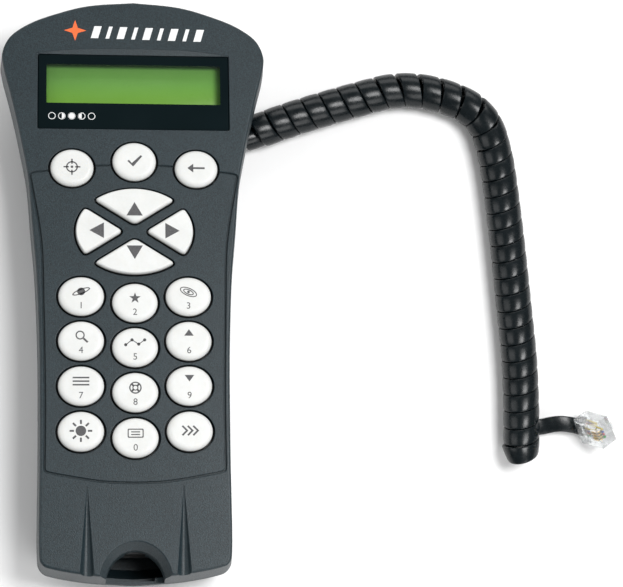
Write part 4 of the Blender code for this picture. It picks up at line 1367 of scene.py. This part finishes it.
def lcd():
    low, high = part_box("display_glass")
    rings = prism(rounded_box(0, VIEW_Y, GLASS_HALF, GLASS_CORNER), low.z, high.z - GLASS_EASE)
    eased = (GLASS_HALF[0] - GLASS_EASE, GLASS_HALF[1] - GLASS_EASE)
    rings.append(at_height(rounded_box(0, VIEW_Y, eased, GLASS_CORNER), high.z))
    piece(finish("lcd_glass", lofted(rings)), "lcd", replaces=("display_glass",))


# ---- screws, socket and nodes kept as they are


def case_screws():
    for number, (x, y) in enumerate(both_sides(CASE_SCREWS), 1):
        node = f"case_screw_{number}"
        low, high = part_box(node)
        seat = low.z + SCREW_HEAD_DEPTH
        levels = [(SCREW_HEAD_RADIUS * reach, low.z + z) for reach, z in SCREW_HEAD]
        for k in range(THREAD_TURNS * 2 + 1):
            z = seat + (high.z - SCREW_SHANK - seat) * k / (THREAD_TURNS * 2)
            levels.append((SCREW_SHANK * (1.0 if k % 2 == 0 else THREAD_ROOT), z))
        levels.append((SCREW_SHANK * 0.3, high.z))
        rings = [at_height(disc(x, y, radius, 48), z) for radius, z in levels]
        screw = finish(f"{node}_detail", lofted(rings), 30)
        for turn in (45, 135):
            slot = []
            for (reach, half), z in ((DRIVE_ARM, -0.0003), (DRIVE_TIP, 0.0010)):
                outline = turned(oblong(reach, -half, half), turn)
                slot.append([(x + px, y + py, low.z + z) for px, py in outline])
            cut(screw, lofted(slot))
        shade(screw, 30)
        piece(screw, "steel", replaces=(node,))


def tube(name, points, radius, sides):
    rings = []
    across = run_at(points, 0).orthogonal()
    turns = [2 * pi * s / sides for s in range(sides)]
    for k, here in enumerate(points):
        run = run_at(points, k)
        across = (across - run * across.dot(run)).normalized()
        other = run.cross(across)
        rings.append([here + across * radius * cos(t) + other * radius * sin(t) for t in turns])
    return finish(name, lofted(rings))


def socket_wires():
    """The sprung contact wires in the data socket."""
    for k in range(SOCKET_WIRES):
        x = (k - (SOCKET_WIRES - 1) / 2) * CONTACT_PITCH
        route = curve_through([(x, JACK_Y[0] + y, z) for y, z in SOCKET_WIRE], 5)
        piece(tube(f"socket_wire_{k + 1}", route, SOCKET_WIRE_RADIUS, 10), "gold")


CARRIED = {
    "display_bezel": "bezel",
    "display_backlight": "light",
    "display_board": "board",
    "display_header": "black",
    "main_board": "board",
    "processor_chip": "chip",
    "memory_chip": "chip",
    "cord_header": "cream",
    "inner_lead": "jacket",
    "data_jack": "black",
    "keypad_mat": "rubber",
}


def carried_nodes():
    """Better materials for the CAD nodes that stay as they are."""
    looks = dict(CARRIED)
    for kind in ("board_screw", "display_screw"):
        looks.update({f"{kind}_{number}": "steel" for number in range(1, 5)})
    for node, look in looks.items():
        for material_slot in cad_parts[node].material_slots:
            material_slot.material = MATERIALS[look]


# ---- cord


def boot():
    """The strain relief: a ribbed tapered sleeve in the case's side."""
    low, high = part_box("cord_strain_relief")
    profile = list(BOOT_BODY)
    for k in range(BOOT_RIBS):
        start, outer = BOOT_RIB_START + k * BOOT_RIB_PITCH, BOOT_RIB_RADIUS - BOOT_TAPER * k
        profile += [(outer - inset, start + step) for inset, step in BOOT_RIB]
    length = high.x - low.x
    profile += [(BOOT_TIP[0], length - BOOT_TIP_EASE), (BOOT_TIP[1], length)]
    rings = [at_length(disc(BOOT_Y, CORD_Z, radius, 48), low.x + step) for radius, step in profile]
    relief = finish("strain_relief_detail", lofted(rings), 30)
    return piece(relief, "boot", replaces=("cord_strain_relief",))


def coil_centres():
    """Points along the coil's axis with their distance from its start."""
    line = curve_through([(x, y, CORD_Z) for x, y in COIL_ROUTE], 16)
    lengths = [0.0]
    for a, b in zip(line, line[1:]):
        lengths.append(lengths[-1] + (b - a).length)
    return line, lengths


def along(line, lengths, distance):
    """The place and the direction at a distance along a line."""
    distance = min(max(distance, 0.0), lengths[-1])
    k = 0
    while k < len(line) - 2 and lengths[k + 1] < distance:
        k += 1
    share = (distance - lengths[k]) / (lengths[k + 1] - lengths[k])
    here = line[k].lerp(line[k + 1], share)
    back, ahead = max(k - 3, 0), min(k + 4, len(line) - 1)
    return here, (line[ahead] - line[back]).normalized()


def between(stops, distance):
    """A value that runs straight from each (distance, value) stop to the next."""
    for (low, first), (high, second) in zip(stops, stops[1:]):
        if distance <= high:
            return first + (second - first) * (distance - low) / (high - low)
    return stops[-1][1]


def helix_steps(start, stop):
    """(distance along the coil's axis, turn) of each point of the winding."""
    distance, turn = start, 0.0
    steps = []
    while distance <= stop:
        steps.append((distance, turn))
        distance += between(TURN_PITCHES, distance) / TURN_STEPS
        turn += 2 * pi / TURN_STEPS
    # the last point lies under the axis, where the ribbon turns back into the coil
    spare = (len(steps) - 1 - 3 * TURN_STEPS // 4) % TURN_STEPS
    first_turn = steps[spare][1]
    return [(distance, turn - first_turn) for distance, turn in steps[spare:]]


def add_coil(places, widths):
    """The winding: it opens from the boot, and closes in on its axis and tilts at its end."""
    line, lengths = coil_centres()
    steps = helix_steps(COIL_ENDS[0], lengths[-1] - COIL_ENDS[1])
    total = len(steps)
    for k, (distance, turn) in enumerate(steps):
        here, run = along(line, lengths, distance)
        side = UP.cross(run)
        grow = smoothstep(0, 0.75 * TURN_STEPS, k)
        end = smoothstep(total - 0.85 * TURN_STEPS, total - 0.2 * TURN_STEPS, k)
        shrink = 1 - 0.10 * end - 0.20 * smoothstep(total - 0.24 * TURN_STEPS, total - 1, k)
        radius = TURN_RADIUS * (0.25 + 0.75 * grow) * shrink
        out = side * cos(turn) + UP * sin(turn)
        lean = TURN_LEAN.dot(run) * sin(turn) - between(TURN_SLANTS, distance) * cos(turn)
        places.append(here + out * radius + run * lean * grow)
        widths.append(run * cos(END_TILT * end) - out * sin(END_TILT * end))
    for k in range(LEAD_IN, LEAD_IN + LEAD_IN_BLEND):
        share = (k + 1 - LEAD_IN) / (LEAD_IN_BLEND + 1)
        widths[k] = widths[0].lerp(widths[k], share).normalized()


def turn_sizes(places):
    """The ribbon's width at each point: less where the next turns come closer."""
    count = len(places)
    sizes = [TAIL_WIDTH] * LEAD_IN + [RIBBON_WIDTH] * (count - LEAD_IN)
    for k in range(LEAD_IN, count):
        for other in (k - TURN_STEPS, k + TURN_STEPS):
            if LEAD_IN <= other < count:
                sizes[k] = min(sizes[k], (places[other] - places[k]).length - TURN_GAP)
    return sizes


def cord_path():
    """The ribbon's centre line, with the direction and the size of its width at each point."""
    start = BOOT_END_X - 0.003
    places = [Vector((start + LEAD_IN_STEP * k, BOOT_Y, CORD_Z)) for k in range(LEAD_IN)]
    widths = [Vector((0, 1, 0))] * LEAD_IN
    add_coil(places, widths)
    sizes = turn_sizes(places)
    tail = curve_through([places[-1], *TAIL_ROUTE], 8)
    on_plug = -plug_matrix().to_3x3().col[1]
    for k, here in enumerate(tail[1:], 1):
        run = run_at(tail, k)
        flat = run.cross(UP).normalized()
        wide = flat.lerp(on_plug, TAIL_ROLL + (1 - TAIL_ROLL) * smoothstep(*TWIST_X, here.x))
        places.append(here)
        widths.append((wide - run * wide.dot(run)).normalized())
        sizes.append(TAIL_WIDTH)
    return places, widths, sizes


def ribbon_section(width):
    """(across, up) points of the flat cord's section: round corners and slightly crowned faces."""
    half, high = width / 2, RIBBON_THICK / 2 - RIBBON_CROWN
    corners = rounded_box(0, 0, (half, high), RIBBON_CORNER, 4)
    shares = (-0.55, -0.2, 0.2, 0.55)
    top = [(share * half, high) for share in shares]
    bottom = [(-share * half, -high) for share in shares]
    outline = [*top, *corners[:10], *bottom, *corners[10:]]
    return [(x, y + copysign(RIBBON_CROWN * (1 - (x / half) ** 2), y)) for x, y in outline]


def ribbon(places, widths, sizes):
    """The cord's jacket: a flat strip with round edges along its centre line."""
    rings = []
    for k, (here, wide) in enumerate(zip(places, widths)):
        thick = run_at(places, k).cross(wide).normalized()
        rings.append([here + wide * across + thick * high for across, high in ribbon_section(sizes[k])])
    return finish("cord_ribbon", lofted(rings), 60)


# ---- plug, built along +X and then placed


def plug_matrix():
    turn = Matrix.Rotation(PLUG_TURN, 4, "Z") @ Matrix.Rotation(PLUG_PITCH, 4, "Y")
    return Matrix.Translation(PLUG_AT) @ turn @ Matrix.Rotation(PLUG_ROLL, 4, "X")


def contact_y(k):
    return (k - (PLUG_CONTACTS - 1) / 2) * CONTACT_PITCH


def plug_body():
    """The clear body, with a mouth for the cord, a slot for each contact and the clamp's hollow."""
    top = PLUG_HALF[1]
    rings = []
    for x, inset in ((0.0, 0.0003), (0.0003, 0.0), (PLUG_LENGTH - 0.0004, 0.0), (PLUG_LENGTH, 0.0004)):
        half = (PLUG_HALF[0] - inset, PLUG_HALF[1] - inset)
        rings.append(at_length(rounded_box(0, 0, half, PLUG_CORNER, 3), x))
    body = finish("plug_body_detail", lofted(rings), 30)
    cut(body, lofted([at_length(rounded_box(0, 0, half, 0.0006, 3), x) for x, *half in PLUG_MOUTH]))
    length, thick, deep = CONTACT_SIZE
    play, half = CONTACT_PLAY[0], thick / 2 + CONTACT_PLAY[1]
    hollows = []
    for k in range(PLUG_CONTACTS):
        low = (CONTACT_X - play, contact_y(k) - half, top - deep)
        hollows.append((low, (CONTACT_X + length + play, contact_y(k) + half, top + 0.001)))
    cut(body, boxes(*hollows, PLUG_CLAMP))
    settle_shading(body, 30)
    body.data.transform(plug_matrix())
    return piece(body, "plug", replaces=("plug_body",))


def plug_contact(k):
    length, thick, deep = CONTACT_SIZE
    bottom, top = PLUG_HALF[1] - deep + 0.0002, PLUG_HALF[1] - 0.0003
    profile = ((0, bottom), (0, top - 0.0004), (0.0003, top), (length - 0.0007, top))
    profile += ((length - 0.0002, top - 0.0003), (length, top - 0.0008), (length, bottom))
    sides = (contact_y(k) - thick / 2, contact_y(k) + thick / 2)
    rings = [[(CONTACT_X + x, side, z) for x, z in profile] for side in sides]
    blade = finish(f"plug_contact_{k + 1}_detail", lofted(rings), 30)
    blade.data.transform(plug_matrix())
    return piece(blade, "gold", replaces=(f"plug_contact_{k + 1}",))


def plug_wire(k, colour):
    y, spread = contact_y(k), contact_y(k) / CONTACT_PITCH * WIRE_SPREAD
    route = ((0.0030, spread, 0), (0.0048, spread, 0.0001), (0.0064, y, 0.0004), (0.0104, y, 0.0005))
    wire = tube(f"plug_wire_{k + 1}", curve_through(route, 5), WIRE_RADIUS, 14)
    wire.data.transform(plug_matrix())
    return piece(wire, f"wire_{colour}")


def plug():
    pieces = [plug_body()]
    pieces += [plug_contact(k) for k in range(PLUG_CONTACTS)]
    pieces += [plug_wire(k, colour) for k, colour in enumerate(WIRE_COLOURS)]
    return pieces


def latch():
    """The springy clear tongue under the plug, with a step near its root."""
    pivot = Matrix.Translation((PLUG_LENGTH - LATCH_ROOT[0], 0, -PLUG_HALF[1] - LATCH_ROOT[1]))
    level = Matrix.Rotation(-LATCH_OPEN, 4, "Y")
    half = LATCH_THICK / 2
    rings = []
    for x, wide in (*LATCH_OUTLINE, (-LATCH_LENGTH, LATCH_TIP_HALF)):
        rings.append([(x, -wide, -half), (x, wide, -half), (x, wide, half), (x, -wide, half)])
    bm = lofted(rings)
    bmesh.ops.bevel(bm, geom=bm.edges[:], offset=0.00008, segments=2, affect="EDGES")
    tongue = finish("plug_latch_detail", bm, 30)
    tongue.data.transform(plug_matrix() @ pivot @ level)
    return piece(tongue, "plug", "plug_latch", ("plug_latch",))


def cord():
    places, widths, sizes = cord_path()
    strip = ribbon(places, widths, sizes)
    piece(strip, "jacket", replaces=("cord_coil", "cord_tail"))
    relief = boot()
    on_plug = plug()
    tongue = latch()


MATERIALS = make_materials()
camera()
studio()
floor()
cord()
front_shell()
rear_shell()
keys()
window()
lcd()
flat_prints()
window_print()
case_screws()
socket_wires()
carried_nodes()
